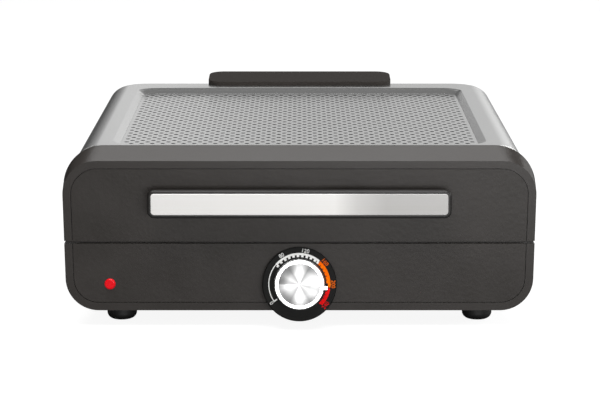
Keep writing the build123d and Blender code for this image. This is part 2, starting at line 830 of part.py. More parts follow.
with BuildPart() as base_tub:
    add(base_outer.part)
    add(base_inside.part, mode=Mode.SUBTRACT)
    with BuildSketch(face_plane(panel_depth)):
        with Locations((0, (frame_window_bottom + base_top) / 2)):
            Rectangle(2 * frame_window_half, base_top - frame_window_bottom)
        with Locations((0, (deck_bottom + base_top) / 2)):
            Rectangle(2 * (body_half - base_wall), base_top - deck_bottom)
        with Locations((0, dial_z)):
            Rectangle(thermostat_width + 2 * thermostat_notch, thermostat_height + 2 * thermostat_notch)
    extrude(amount=-flange_thickness, mode=Mode.SUBTRACT)
    with BuildSketch(Plane.XY.offset(deck_bottom)):
        add(plan_outline(base_wall, panel_depth + flange_thickness))
        add(
            plan_outline(base_wall + ledge_width, panel_depth + flange_thickness + ledge_width),
            mode=Mode.SUBTRACT,
        )
    extrude(amount=-ledge_height)
    boss_group(Plane.XY.offset(base_floor), cover_screw_spots, bottom_boss_height)
    with BuildSketch(Plane.XY.offset(body_bottom)):
        with Locations((0, depth_y(bottom_centre))):
            RectangleRounded(
                bottom_cover_width - 2 * bottom_lap, bottom_cover_depth - 2 * bottom_lap, bottom_corner
            )
    extrude(amount=base_wall, mode=Mode.SUBTRACT)
    with BuildSketch(face_plane(body_depth)):
        with Locations((0, (base_floor + tray_slot_top) / 2)):
            Rectangle(2 * tray_slot_half, tray_slot_top - base_floor)
        with Locations((gland_x, gland_z)):
            Circle(gland_radius + fit_clearance)
    extrude(amount=edge_radius, mode=Mode.SUBTRACT)
    pilot_holes(face_plane(panel_depth), base_screw_spots, -flange_thickness)
    pilot_holes(face_plane(body_depth), tower_screw_spots, base_wall)
    pilot_holes(Plane.XY.offset(body_bottom), foot_spots, base_wall)
    pilot_holes(Plane.XY.offset(body_bottom), cover_screw_spots, base_wall + bottom_boss_height)
    pilot_holes(Plane.XY.offset(deck_bottom), deck_screw_spots, -ledge_height)

# The tub is made in four mouldings: floor, rear wall and two side walls.
split_x = body_half - base_split
split_depth = body_depth - base_split
with BuildPart() as base_middle:
    add(base_tub.part)
    split(bisect_by=Plane.YZ.offset(split_x), keep=Keep.BOTTOM)
    split(bisect_by=Plane.YZ.offset(-split_x), keep=Keep.TOP)

with BuildPart() as base_floor_pan:
    add(base_middle.part)
    split(bisect_by=face_plane(split_depth), keep=Keep.TOP)
base_floor_pan.part.label = "base_floor_pan"
export_step(base_floor_pan.part, "parts/base_floor_pan.step")

with BuildPart() as base_rear_wall:
    add(base_middle.part)
    split(bisect_by=face_plane(split_depth), keep=Keep.BOTTOM)
base_rear_wall.part.label = "base_rear_wall"
export_step(base_rear_wall.part, "parts/base_rear_wall.step")

with BuildPart() as base_side_left:
    add(base_tub.part)
    split(bisect_by=Plane.YZ.offset(-split_x), keep=Keep.BOTTOM)
base_side_left.part.label = "base_side_left"
export_step(base_side_left.part, "parts/base_side_left.step")

with BuildPart() as base_side_right:
    add(base_tub.part)
    split(bisect_by=Plane.YZ.offset(split_x), keep=Keep.TOP)
base_side_right.part.label = "base_side_right"
export_step(base_side_right.part, "parts/base_side_right.step")

with BuildPart() as base_screws:
    screw_group(
        face_plane(panel_depth + flange_thickness).rotated((180, 0, 0)),
        [(x, -z) for x, z in base_screw_spots],
        flange_thickness + thread_depth,
    )
    screw_group(
        face_plane(panel_front_wall).rotated((180, 0, 0)),
        [(x, -z) for x, z in dial_screw_spots],
        panel_front_wall + dial_thread,
    )
    screw_group(
        dial_plane(thermostat_front).rotated((180, 0, 0)),
        thermostat_screw_spots,
        thermostat_front - thermostat_screw_end,
    )
base_screws.part.label = "base_screws"
export_step(base_screws.part, "parts/base_screws.step")

with BuildPart() as bottom_cover:
    with BuildSketch(Plane.XY.offset(body_bottom)):
        with Locations((0, depth_y(bottom_centre))):
            RectangleRounded(bottom_cover_width, bottom_cover_depth, bottom_corner)
            with GridLocations(vent_pitch_x, vent_pitch_y, vent_columns, vent_rows):
                SlotOverall(vent_length, vent_width, rotation=90, mode=Mode.SUBTRACT)
    extrude(amount=-bottom_sheet)
    pilot_holes(Plane.XY.offset(body_bottom), cover_screw_spots, -bottom_sheet)
bottom_cover.part.label = "bottom_cover"
export_step(bottom_cover.part, "parts/bottom_cover.step")

with BuildPart() as bottom_screws:
    screw_group(
        Plane.XY.offset(body_bottom - bottom_sheet).rotated((180, 0, 0)),
        [(x, -y) for x, y in cover_screw_spots],
        bottom_sheet + base_wall + bottom_boss_height - screw_end_gap,
    )
bottom_screws.part.label = "bottom_screws"
export_step(bottom_screws.part, "parts/bottom_screws.step")

foot_names = ("foot_front_left", "foot_front_right", "foot_rear_left", "foot_rear_right")
for foot_name, spot in zip(foot_names, foot_spots):
    with BuildPart() as foot:
        with BuildSketch(Plane.XY):
            with Locations(spot):
                Circle(foot_radius)
        extrude(amount=body_bottom)
        fillet(foot.edges().group_by(Axis.Z)[0], foot_edge)
        pilot_holes(Plane.XY.offset(body_bottom), [spot], -foot_thread - screw_end_gap)
    foot.part.label = foot_name
    export_step(foot.part, f"parts/{foot_name}.step")

with BuildPart() as foot_screws:
    screw_group(Plane.XY.offset(base_floor), foot_spots, base_wall + foot_thread)
foot_screws.part.label = "foot_screws"
export_step(foot_screws.part, "parts/foot_screws.step")

# =============================================================== base insides
body_plan_width = plate_width - 2 * plate_flange
body_plan_depth = plate_depth - 2 * plate_flange
body_plan_corner = plate_corner - plate_flange
deck_open_width = body_plan_width + 2 * plate_seat_clearance
deck_open_depth = body_plan_depth + 2 * plate_seat_clearance
deck_open_corner = body_plan_corner + plate_seat_clearance
pan_bottom_face = pan_bottom + pan_sheet
pan_front = plate_centre - deck_open_depth / 2 - pan_sheet
pan_flange_spots = [
    (side * (deck_open_width / 2 + pan_sheet + pan_flange / 2), depth_y(depth))
    for depth in deck_screw_depths for side in (-1, 1)
]
drain_depth = plate_centre + body_plan_depth / 2 - plate_wall - drain_inset

with BuildPart() as base_deck:
    with BuildSketch(Plane.XY.offset(deck_bottom)):
        add(plan_outline(base_wall, panel_depth))
        add(
            rounded_plan(deck_open_width, deck_open_depth, deck_open_corner, plate_centre),
            mode=Mode.SUBTRACT,
        )
    extrude(amount=deck_thickness)
    pilot_holes(Plane.XY.offset(deck_top), deck_screw_spots, -deck_thickness)
    pilot_holes(Plane.XY.offset(deck_bottom), pan_flange_spots, pan_thread + fit_clearance)
base_deck.part.label = "base_deck"
export_step(base_deck.part, "parts/base_deck.step")

with BuildPart() as deck_screws:
    screw_group(Plane.XY.offset(deck_top), deck_screw_spots, deck_thickness + ledge_height)
deck_screws.part.label = "deck_screws"
export_step(deck_screws.part, "parts/deck_screws.step")

with BuildPart() as lid_bumpers:
    with BuildSketch(Plane.XY.offset(deck_top)):
        with Locations(*[
            (side * (body_half - bumper_inset), depth_y(depth))
            for depth in bumper_depths for side in (-1, 1)
        ]):
            Circle(bumper_radius)
    extrude(amount=lid_bottom + rim_frame_rise - bumper_gap - deck_top)
    fillet(lid_bumpers.edges().group_by(Axis.Z)[-1], bumper_edge)
lid_bumpers.part.label = "lid_bumpers"
export_step(lid_bumpers.part, "parts/lid_bumpers.step")

element_hole_spots = [(-element_terminal_x, element_z), (element_terminal_x, element_z)]

with BuildPart() as reflector_pan:
    with BuildSketch(Plane.XY.offset(pan_bottom)):
        add(rounded_plan(
            deck_open_width + 2 * pan_sheet, deck_open_depth + 2 * pan_sheet,
            deck_open_corner + pan_sheet, plate_centre,
        ))
    extrude(amount=deck_bottom - pan_bottom)
    with BuildSketch(Plane.XY.offset(deck_bottom)):
        add(rounded_plan(
            deck_open_width + 2 * (pan_sheet + pan_flange), deck_open_depth + 2 * (pan_sheet + pan_flange),
            deck_open_corner + pan_sheet + pan_flange, plate_centre,
        ))
    extrude(amount=-pan_sheet)
    with BuildSketch(Plane.XY.offset(pan_bottom_face)):
        add(rounded_plan(deck_open_width, deck_open_depth, deck_open_corner, plate_centre))
    extrude(amount=deck_bottom - pan_bottom_face, mode=Mode.SUBTRACT)
    with BuildSketch(face_plane(pan_front)):
        with Locations(*element_hole_spots):
            Circle(element_radius + element_hole_clearance)
        with Locations((0, capillary_z)):
            Circle(capillary_hole_radius)
    extrude(amount=-pan_sheet, mode=Mode.SUBTRACT)
    with BuildSketch(Plane.XY.offset(pan_bottom)):
        with Locations((0, depth_y(drain_depth))):
            Circle(pan_drain_radius)
    extrude(amount=pan_sheet, mode=Mode.SUBTRACT)
    pilot_holes(Plane.XY.offset(deck_bottom), pan_flange_spots, -pan_sheet)
reflector_pan.part.label = "reflector_pan"
export_step(reflector_pan.part, "parts/reflector_pan.step")

with BuildPart() as pan_screws:
    screw_group(
        Plane.XY.offset(deck_bottom - pan_sheet).rotated((180, 0, 0)),
        [(x, -y) for x, y in pan_flange_spots],
        pan_sheet + pan_thread,
    )
pan_screws.part.label = "pan_screws"
export_step(pan_screws.part, "parts/pan_screws.step")

# The tube runs out and back through the pan's front wall, symmetric about X = 0.
half_run = [
    (element_terminal_x, element_terminal_depth),
    (element_terminal_x, element_front),
    (element_reach_x, element_front),
    (element_reach_x, element_rear),
    (element_inner_x, element_rear),
    (element_inner_x, element_turn),
]
element_points = [(-x, depth_y(depth), element_z) for x, depth in half_run]
element_points += [(x, depth_y(depth), element_z) for x, depth in reversed(half_run)]

with BuildPart() as heating_element:
    with BuildLine() as element_line:
        FilletPolyline(*element_points, radius=element_bend)
    with BuildSketch(Plane(element_line.line @ 0, z_dir=element_line.line % 0)):
        Circle(element_radius)
    sweep()
heating_element.part.label = "heating_element"
export_step(heating_element.part, "parts/heating_element.step")

with BuildPart() as element_pins:
    with BuildSketch(face_plane(element_terminal_depth)):
        with Locations(*element_hole_spots):
            Circle(terminal_pin_radius)
    extrude(amount=terminal_pin_length)
element_pins.part.label = "element_pins"
export_step(element_pins.part, "parts/element_pins.step")

with BuildPart() as element_plates:
    with BuildSketch(face_plane(pan_front)):
        with Locations(*element_hole_spots):
            RectangleRounded(*element_plate_size, element_plate_corner)
            Circle(element_radius + fit_clearance, mode=Mode.SUBTRACT)
    extrude(amount=element_plate_sheet)
element_plates.part.label = "element_plates"
export_step(element_plates.part, "parts/element_plates.step")

with BuildPart() as element_clips:
    for clip_x in (element_reach_x, element_inner_x):
        for clip_depth in element_clip_depths:
            with BuildSketch(face_plane(clip_depth)):
                with Locations(*[(side * clip_x, (pan_bottom_face + element_z) / 2) for side in (-1, 1)]):
                    Rectangle(clip_width, element_z - pan_bottom_face)
                with Locations(*[(side * clip_x, element_z) for side in (-1, 1)]):
                    Circle(element_radius + fit_clearance, mode=Mode.SUBTRACT)
            extrude(amount=clip_sheet)
element_clips.part.label = "element_clips"
export_step(element_clips.part, "parts/element_clips.step")

# ================================================================ thermostat
thermostat_rear = thermostat_front + thermostat_depth

with BuildPart() as thermostat_body:
    with BuildSketch(dial_plane(thermostat_rear)):
        RectangleRounded(thermostat_width, thermostat_height, thermostat_corner)
    extrude(amount=thermostat_depth)
    with BuildSketch(dial_plane(thermostat_front)):
        Circle(bushing_radius)
    extrude(amount=thermostat_front - collar_front)
    with BuildSketch(dial_plane(collar_front)):
        Circle(shaft_radius + shaft_running_clearance)
    extrude(amount=-(thermostat_front - collar_front + shaft_hole_depth), mode=Mode.SUBTRACT)
thermostat_body.part.label = "thermostat_body"
export_step(thermostat_body.part, "parts/thermostat_body.step")

with BuildPart() as thermostat_bracket:
    with BuildSketch(dial_plane(thermostat_front)):
        RectangleRounded(
            2 * (thermostat_screw_x + bracket_side), thermostat_height + 2 * bracket_rise, bracket_corner
        )
        Circle(bushing_radius + fit_clearance, mode=Mode.SUBTRACT)
    extrude(amount=thermostat_sheet)
    pilot_holes(dial_plane(thermostat_front), thermostat_screw_spots, thermostat_sheet)
thermostat_bracket.part.label = "thermostat_bracket"
export_step(thermostat_bracket.part, "parts/thermostat_bracket.step")

# From its turn the capillary runs along the tilted axis to the thermostat's rear face.
capillary_run = capillary_turn * tilt_run - (capillary_z - dial_z) * tilt_rise - thermostat_rear
capillary_points = [
    (0, depth_y(bulb_front + capillary_lap), bulb_z),
    (0, depth_y(bulb_front - capillary_step), bulb_z),
    (0, depth_y(bulb_front - 2 * capillary_step), capillary_z),
    (0, depth_y(capillary_turn), capillary_z),
    (0, depth_y(capillary_turn - capillary_run * tilt_run), capillary_z + capillary_run * tilt_rise),
]

with BuildPart() as sensor_bulb:
    with BuildSketch(face_plane(bulb_rear)):
        with Locations((0, bulb_z)):
            Circle(bulb_radius)
    extrude(amount=bulb_rear - bulb_front)
    with BuildLine() as capillary_line:
        FilletPolyline(*capillary_points, radius=capillary_bend)
    with BuildSketch(Plane(capillary_line.line @ 0, z_dir=capillary_line.line % 0)):
        Circle(capillary_radius)
    sweep()
sensor_bulb.part.label = "sensor_bulb"
export_step(sensor_bulb.part, "parts/sensor_bulb.step")

with BuildPart() as sensor_clips:
    for clip_depth in (bulb_front + capillary_step, bulb_rear - clip_sheet):
        with BuildSketch(face_plane(clip_depth)):
            with Locations((0, (pan_bottom_face + bulb_z) / 2)):
                Rectangle(clip_width, bulb_z - pan_bottom_face)
            with Locations((0, bulb_z)):
                Circle(bulb_radius + fit_clearance, mode=Mode.SUBTRACT)
        extrude(amount=clip_sheet)
sensor_clips.part.label = "sensor_clips"
export_step(sensor_clips.part, "parts/sensor_clips.step")

with BuildPart() as thermal_fuse:
    with BuildSketch(face_plane(pan_front)):
        with Locations((fuse_x, fuse_z)):
            RectangleRounded(fuse_width, fuse_height, fuse_corner)
    extrude(amount=fuse_depth)
thermal_fuse.part.label = "thermal_fuse"
export_step(thermal_fuse.part, "parts/thermal_fuse.step")

# ====================================================== dial, knob, pilot light
with BuildPart() as dial_plate:
    with BuildSketch(dial_plane(dial_radius)):
        Circle(dial_radius)
    extrude(amount=dial_radius + dial_thickness)
    fillet(dial_plate.faces().sort_by(Axis.Y)[0].edges(), dial_edge)
    split(bisect_by=face_plane(0), keep=Keep.TOP)
    with BuildSketch(dial_plane(dial_radius)):
        Circle(shaft_radius + shaft_open_clearance)
    extrude(amount=dial_radius + dial_thickness, mode=Mode.SUBTRACT)
    pilot_holes(face_plane(0), dial_screw_spots, dial_thread + fit_clearance)
dial_plate.part.label = "dial_plate"
export_step(dial_plate.part, "parts/dial_plate.step")

knob_rear = -(dial_thickness + knob_gap)
knob_front = knob_rear - knob_height
knob_recess_floor = knob_front + knob_recess
shaft_front = knob_recess_floor + shaft_front_cover
shaft_rear = thermostat_front + shaft_hole_depth - shaft_blind
flat_height = shaft_radius - shaft_flat
pointer_plane = Plane(
    dial_plane(knob_rear).origin,
    x_dir=dial_plane(knob_rear).x_dir.rotate(Axis((0, 0, 0), dial_plane(knob_rear).z_dir), pointer_angle),
    z_dir=dial_plane(knob_rear).z_dir,
)
pointer_centre = (pointer_inner + pointer_outer) / 2

with BuildPart() as knob_skirt:
    with BuildSketch(dial_plane(knob_rear)):
        Circle(knob_radius)
    with BuildSketch(dial_plane(knob_front)):
        Circle(knob_crown_radius)
    loft(ruled=True)
    fillet(knob_skirt.faces().sort_by(Axis.Y)[0].edges(), knob_edge)
    with BuildSketch(dial_plane(knob_front)):
        Circle(knob_face_radius + knob_shadow_groove)
    extrude(amount=-knob_recess, mode=Mode.SUBTRACT)
    with BuildSketch(dial_plane(knob_rear)):
        Circle(knob_crown_radius - knob_wall)
    extrude(amount=knob_height - knob_recess - knob_wall, mode=Mode.SUBTRACT)
    with BuildSketch(dial_plane(knob_rear - knob_hub_set)):
        Circle(knob_hub_radius)
    extrude(amount=knob_height - knob_recess - knob_hub_set)
    with BuildSketch(dial_plane(knob_rear)):
        Circle(shaft_radius + fit_clearance)
        with Locations((0, flat_height + fit_clearance + shaft_radius)):
            Rectangle(4 * shaft_radius, 2 * shaft_radius, mode=Mode.SUBTRACT)
    extrude(amount=knob_rear - shaft_front, mode=Mode.SUBTRACT)
    with BuildSketch(pointer_plane):
        with Locations((pointer_centre, 0)):
            Rectangle(
                pointer_outer - pointer_inner + 2 * fit_clearance, pointer_width + 2 * fit_clearance
            )
    extrude(amount=knob_height, mode=Mode.SUBTRACT)
knob_skirt.part.label = "knob_skirt"
export_step(knob_skirt.part, "parts/knob_skirt.step")

with BuildPart() as knob_cap:
    with BuildSketch(dial_plane(knob_recess_floor)):
        Circle(knob_face_radius)
    extrude(amount=cap_thickness)
knob_cap.part.label = "knob_cap"
export_step(knob_cap.part, "parts/knob_cap.step")

with BuildPart() as knob_pointer:
    with BuildSketch(pointer_plane):
        with Locations((pointer_centre, 0)):
            Rectangle(pointer_outer - pointer_inner, pointer_width)
    extrude(amount=knob_height)
knob_pointer.part.label = "knob_pointer"
export_step(knob_pointer.part, "parts/knob_pointer.step")

with BuildPart() as control_shaft:
    with BuildSketch(dial_plane(shaft_rear)):
        Circle(shaft_radius)
    extrude(amount=shaft_rear - shaft_front)
    with BuildSketch(dial_plane(knob_rear)):
        with Locations((0, flat_height + shaft_radius)):
            Rectangle(4 * shaft_radius, 2 * shaft_radius)
    extrude(amount=knob_rear - shaft_front, mode=Mode.SUBTRACT)
control_shaft.part.label = "control_shaft"
export_step(control_shaft.part, "parts/control_shaft.step")

with BuildPart() as knob_clip:
    with BuildSketch(dial_plane(knob_rear - knob_hub_set)):
        Circle(clip_radius)
        Circle(shaft_radius + fit_clearance, mode=Mode.SUBTRACT)
    extrude(amount=-clip_thickness)
knob_clip.part.label = "knob_clip"
export_step(knob_clip.part, "parts/knob_clip.step")

with BuildPart() as indicator_lens:
    with BuildSketch(face_plane(0)):
        with Locations((indicator_x, indicator_z)):
            Circle(indicator_radius)
    extrude(amount=indicator_dome)
    fillet(indicator_lens.faces().sort_by(Axis.Y)[0].edges(), indicator_dome_edge)
    with BuildSketch(face_plane(0)):
        with Locations((indicator_x, indicator_z)):
            Circle(indicator_barrel_radius)
    extrude(amount=-indicator_barrel)
indicator_lens.part.label = "indicator_lens"
export_step(indicator_lens.part, "parts/indicator_lens.step")

with BuildPart() as indicator_lamp:
    with BuildSketch(face_plane(indicator_barrel)):
        with Locations((indicator_x, indicator_z)):
            Circle(lamp_flange_radius)
    extrude(amount=-lamp_flange)
    with BuildSketch(face_plane(indicator_barrel + lamp_flange)):
        with Locations((indicator_x, indicator_z)):
            Circle(lamp_radius)
    extrude(amount=-lamp_length)
indicator_lamp.part.label = "indicator_lamp"
export_step(indicator_lamp.part, "parts/indicator_lamp.step")

# ============================================================== cooking plate
with BuildPart() as griddle_plate:
    with BuildSketch(Plane.XY.offset(plate_bottom)):
        add(rounded_plan(body_plan_width, body_plan_depth, body_plan_corner, plate_centre))
    extrude(amount=deck_top - plate_bottom)
    fillet(griddle_plate.edges().group_by(Axis.Z)[0], plate_under_edge)
    with BuildSketch(Plane.XY.offset(deck_top)):
        add(rounded_plan(plate_width, plate_depth, plate_corner, plate_centre))
    extrude(amount=plate_flange_thickness)
    fillet(griddle_plate.edges().group_by(Axis.Z)[-1], plate_rim_edge)
    with BuildPart(mode=Mode.PRIVATE) as plate_well:
        with BuildSketch(Plane.XY.offset(plate_bottom + plate_floor)):
            add(rounded_plan(
                body_plan_width - 2 * plate_wall, body_plan_depth - 2 * plate_wall,
                body_plan_corner - plate_wall, plate_centre,
            ))
        extrude(amount=deck_top + plate_flange_thickness - plate_bottom - plate_floor)
        fillet(plate_well.edges().group_by(Axis.Z)[0], plate_well_edge)
    add(plate_well.part, mode=Mode.SUBTRACT)
    with BuildSketch(Plane.XY.offset(plate_bottom)):
        with Locations((0, depth_y(drain_depth))):
            Circle(drain_radius)
    extrude(amount=plate_floor, mode=Mode.SUBTRACT)
griddle_plate.part.label = "griddle_plate"
export_step(griddle_plate.part, "parts/griddle_plate.step")

# ================================================================== drip tray
tray_bottom = base_floor + tray_floor_gap
tray_rear = body_depth + tray_plate_gap
tray_front = tray_rear - tray_depth

with BuildPart() as drip_tray:
    with BuildSketch(Plane.XY.offset(tray_bottom)):
        with Locations((0, depth_y((tray_front + tray_rear) / 2))):
            Rectangle(tray_width, tray_depth)
    extrude(amount=tray_height)
    with BuildSketch(Plane.XY.offset(tray_bottom + tray_wall)):
        with Locations((0, depth_y((tray_front + tray_rear) / 2))):
            Rectangle(tray_width - 2 * tray_wall, tray_depth - 2 * tray_wall)
    extrude(amount=tray_height - tray_wall, mode=Mode.SUBTRACT)
    with BuildSketch(face_plane(tray_rear)):
        with Locations((0, tray_bottom + tray_plate_height / 2)):
            RectangleRounded(tray_width + 2 * tray_plate_overlap, tray_plate_height, tray_plate_corner)
    extrude(amount=-tray_front_plate)
    with BuildSketch(face_plane(tray_rear + tray_front_plate)):
        with Locations((0, tray_bottom + tray_plate_height - tray_pull_thickness)):
            Rectangle(tray_pull_width, tray_pull_thickness)
    extrude(amount=-tray_pull_reach)
drip_tray.part.label = "drip_tray"
export_step(drip_tray.part, "parts/drip_tray.step")

# ================================================================ hinge tower
tower_top = axis_z - tower_drop
tower_rear = body_depth + tower_depth
tower_front = body_depth + tower_front_gap
ear_step = barrel_length / 2 + barrel_side_gap + ear_thickness / 2
ear_centres = [side * (barrel_x + step) for side in (-1, 1) for step in (-ear_step, ear_step)]

with BuildPart() as hinge_tower:
    with BuildSketch(Plane.YZ):
        with BuildLine():
            Polyline(
                (depth_y(body_depth), tower_bottom), (depth_y(tower_rear), tower_bottom),
                (depth_y(tower_rear), tower_top), (depth_y(tower_front), tower_top),
                (depth_y(tower_front), base_top), (depth_y(body_depth), base_top),
                close=True,
            )
        make_face()
    extrude(amount=tower_half, both=True)
    fillet(hinge_tower.edges().filter_by(Axis.Z).group_by(Axis.Y)[-1], tower_corner)
    with BuildSketch(Plane.XY.offset(tower_bottom)):
        with Locations((0, depth_y((tower_front + tower_rear) / 2))):
            Rectangle(2 * (tower_half - tower_wall), tower_rear - tower_front - 2 * tower_wall)
    extrude(amount=tower_top - tower_wall - tower_bottom, mode=Mode.SUBTRACT)
    boss_group(face_plane(body_depth), tower_screw_spots, -tower_boss_length)
    for ear_x in ear_centres:
        with BuildSketch(Plane.YZ.offset(ear_x)):
            with Locations((depth_y(axis_depth), axis_z)):
                Circle(knuckle_radius)
            with Locations((depth_y(axis_depth), (axis_z + tower_top) / 2)):
                Rectangle(2 * knuckle_radius, axis_z - tower_top)
        extrude(amount=ear_thickness / 2, both=True)
        with BuildSketch(Plane.YZ.offset(ear_x)):
            with Locations((depth_y(axis_depth), axis_z)):
                Circle(pin_radius + pin_running_clearance)
        extrude(amount=ear_thickness / 2, both=True, mode=Mode.SUBTRACT)
    pilot_holes(face_plane(body_depth), tower_screw_spots, -tower_hole_depth)
hinge_tower.part.label = "hinge_tower"
export_step(hinge_tower.part, "parts/hinge_tower.step")

with BuildPart() as tower_screws:
    screw_group(face_plane(body_depth - base_wall), tower_screw_spots, base_wall + tower_thread)
tower_screws.part.label = "tower_screws"
export_step(tower_screws.part, "parts/tower_screws.step")

pin_half = barrel_length / 2 + barrel_side_gap + ear_thickness

with BuildPart() as hinge_pins:
    for side in (-1, 1):
        with BuildSketch(Plane.YZ.offset(side * barrel_x)):
            with Locations((depth_y(axis_depth), axis_z)):
                Circle(pin_radius)
        extrude(amount=pin_half, both=True)
    chamfer(hinge_pins.edges().filter_by(GeomType.CIRCLE), pin_chamfer)
hinge_pins.part.label = "hinge_pins"
export_step(hinge_pins.part, "parts/hinge_pins.step")

# ============================================================ supply and wires
with BuildPart() as cord_gland:
    with BuildSketch(face_plane(gland_rear)):
        with Locations((gland_x, gland_z)):
            Circle(gland_radius)
    extrude(amount=gland_length)
    with BuildSketch(face_plane(body_depth + gland_flange)):
        with Locations((gland_x, gland_z)):
            Circle(gland_flange_radius)
    extrude(amount=gland_flange)
    fillet(cord_gland.edges().group_by(Axis.Y)[-1], gland_edge)
    with BuildSketch(face_plane(gland_rear)):
        with Locations((gland_x, gland_z)):
            Circle(gland_bore)
    extrude(amount=gland_length, mode=Mode.SUBTRACT)
cord_gland.part.label = "cord_gland"
export_step(cord_gland.part, "parts/cord_gland.step")

block_top = wire_z + block_rise

with BuildPart() as terminal_block:
    with BuildSketch(Plane.XY.offset(base_floor)):
        with Locations((gland_x, depth_y(block_front + block_depth / 2))):
            Rectangle(block_width, block_depth)
    extrude(amount=block_top - base_floor)
    with BuildSketch(Plane.XY.offset(block_top)):
        with Locations((gland_x, depth_y(block_front + block_depth / 2))):
            with GridLocations(wire_pitch, block_depth / 2, 3, 2):
                Circle(block_screw_radius)
    extrude(amount=-block_screw_depth, mode=Mode.SUBTRACT)
terminal_block.part.label = "terminal_block"
export_step(terminal_block.part, "parts/terminal_block.step")

live_x = gland_x - wire_pitch
earth_x = gland_x + wire_pitch
block_y = depth_y(block_front)
pin_under = element_z - terminal_pin_radius
wire_routes = {
    "wire_live": [
        (live_x, block_y, wire_z), (live_x, depth_y(live_front), wire_z),
        (-thermostat_width / 2, depth_y(live_front), wire_z),
    ],
    "wire_neutral": [
        (gland_x, block_y, wire_z), (gland_x, depth_y(neutral_front), wire_z),
        (-element_terminal_x, depth_y(neutral_front), wire_z),
        (-element_terminal_x, depth_y(neutral_front), pin_under),
    ],
    "wire_switched": [
        (thermostat_width / 2, depth_y(neutral_front), wire_z),
        (element_terminal_x, depth_y(neutral_front), wire_z),
        (element_terminal_x, depth_y(neutral_front), pin_under),
    ],
    "wire_earth": [
        (earth_x, block_y, wire_z), (earth_x, depth_y(earth_stud), wire_z),
        (earth_x, depth_y(earth_stud), pan_bottom),
    ],
}

for wire_name, route in wire_routes.items():
    with BuildPart() as wire:
        with BuildLine() as wire_line:
            FilletPolyline(*route, radius=wire_bend)
        with BuildSketch(Plane(wire_line.line @ 0, z_dir=wire_line.line % 0)):
            Circle(wire_radius)
        sweep()
    wire.part.label = wire_name
    export_step(wire.part, f"parts/{wire_name}.step")
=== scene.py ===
"""Electric griddle: the visible pieces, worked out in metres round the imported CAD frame.

The griddle stands on a pale floor with its lid shut. Front is -Y, right is +X, up is +Z.
"""
import json
from math import cos, pi, radians, sin

import bmesh
import bpy
import numpy as np
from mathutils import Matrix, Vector

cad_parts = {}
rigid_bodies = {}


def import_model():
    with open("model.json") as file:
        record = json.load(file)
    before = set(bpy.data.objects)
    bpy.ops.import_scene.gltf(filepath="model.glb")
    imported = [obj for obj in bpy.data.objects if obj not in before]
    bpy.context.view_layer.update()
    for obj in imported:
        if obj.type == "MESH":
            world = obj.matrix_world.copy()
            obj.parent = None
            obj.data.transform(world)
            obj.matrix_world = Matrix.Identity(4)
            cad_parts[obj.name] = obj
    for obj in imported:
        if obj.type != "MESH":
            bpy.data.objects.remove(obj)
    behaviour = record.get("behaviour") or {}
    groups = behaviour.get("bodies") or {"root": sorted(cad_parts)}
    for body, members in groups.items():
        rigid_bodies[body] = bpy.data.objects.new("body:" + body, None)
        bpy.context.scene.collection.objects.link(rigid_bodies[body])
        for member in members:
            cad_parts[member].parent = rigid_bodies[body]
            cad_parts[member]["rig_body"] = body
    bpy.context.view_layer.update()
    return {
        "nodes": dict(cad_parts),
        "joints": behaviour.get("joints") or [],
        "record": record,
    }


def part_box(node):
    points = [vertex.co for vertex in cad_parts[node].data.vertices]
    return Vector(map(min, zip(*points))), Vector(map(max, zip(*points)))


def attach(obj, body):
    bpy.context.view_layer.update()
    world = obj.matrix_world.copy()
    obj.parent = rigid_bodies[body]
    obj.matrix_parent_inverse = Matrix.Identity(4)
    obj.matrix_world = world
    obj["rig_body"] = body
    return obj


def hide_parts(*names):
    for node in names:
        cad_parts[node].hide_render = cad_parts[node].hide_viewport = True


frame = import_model()
nodes = frame["nodes"]

# ------------------------------------------------------------------ studio
# A pale floor, a wide soft light overhead in front of the lid, a softer one on
# the right and a low one in front. The surroundings are dark on the far left
# and above. The camera stands in front, a little above the lid.
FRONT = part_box("lid_fascia")[0].y
CAMERA_REACH = 1.914
CAMERA_HEIGHT = 0.4893
CAMERA_SIDE = 0.0005
CAMERA_PITCH = radians(11.0775)
CAMERA_LENS = 133.66
CAMERA_SENSOR = 36.0
FLOOR_SIZE = 30.0
FLOOR_GREY = 0.24
FLOOR_SWING = 1.03
FLOOR_GLOW = 0.90
SKY_STOPS = ((-1.0, 0.02), (-0.24, 0.03), (-0.125, 0.42), (-0.085, 0.80), (0.0, 0.62), (0.09, 0.64),
             (0.20, 0.98), (0.50, 0.95), (0.70, 0.50), (1.0, 0.45))
HIGH_FROM, HIGH_TO = 0.28, 0.55
HIGH_SKY = 0.20

camera_data = bpy.data.cameras.new("camera")
camera_data.lens = CAMERA_LENS
camera_data.sensor_width = CAMERA_SENSOR
camera = bpy.data.objects.new("camera", camera_data)
bpy.context.scene.collection.objects.link(camera)
camera.location = (CAMERA_SIDE, FRONT - CAMERA_REACH, CAMERA_HEIGHT)
camera.rotation_euler = (pi / 2 - CAMERA_PITCH, 0, 0)
bpy.context.scene.camera = camera
bpy.context.scene.view_settings.view_transform = "Standard"


def area_light(name, place, target, size, power):
    """A soft rectangular light at a place, turned to a target."""
    data = bpy.data.lights.new(name, "AREA")
    data.shape = "RECTANGLE"
    data.size, data.size_y = size
    data.energy = power
    light = bpy.data.objects.new(name, data)
    bpy.context.scene.collection.objects.link(light)
    light.location = place
    light.rotation_euler = (Vector(target) - Vector(place)).to_track_quat("-Z", "Y").to_euler()


area_light("overhead", (0.0, -0.75, 1.9), (0, -0.25, 0.1), (2.0, 1.4), 38)
area_light("right_side", (2.0, 0.3, 0.8), (0, 0.1, 0.1), (1.2, 1.2), 18)
area_light("front_low", (0.30, -1.75, 0.22), (0, -0.2, 0.1), (0.9, 0.35), 8)

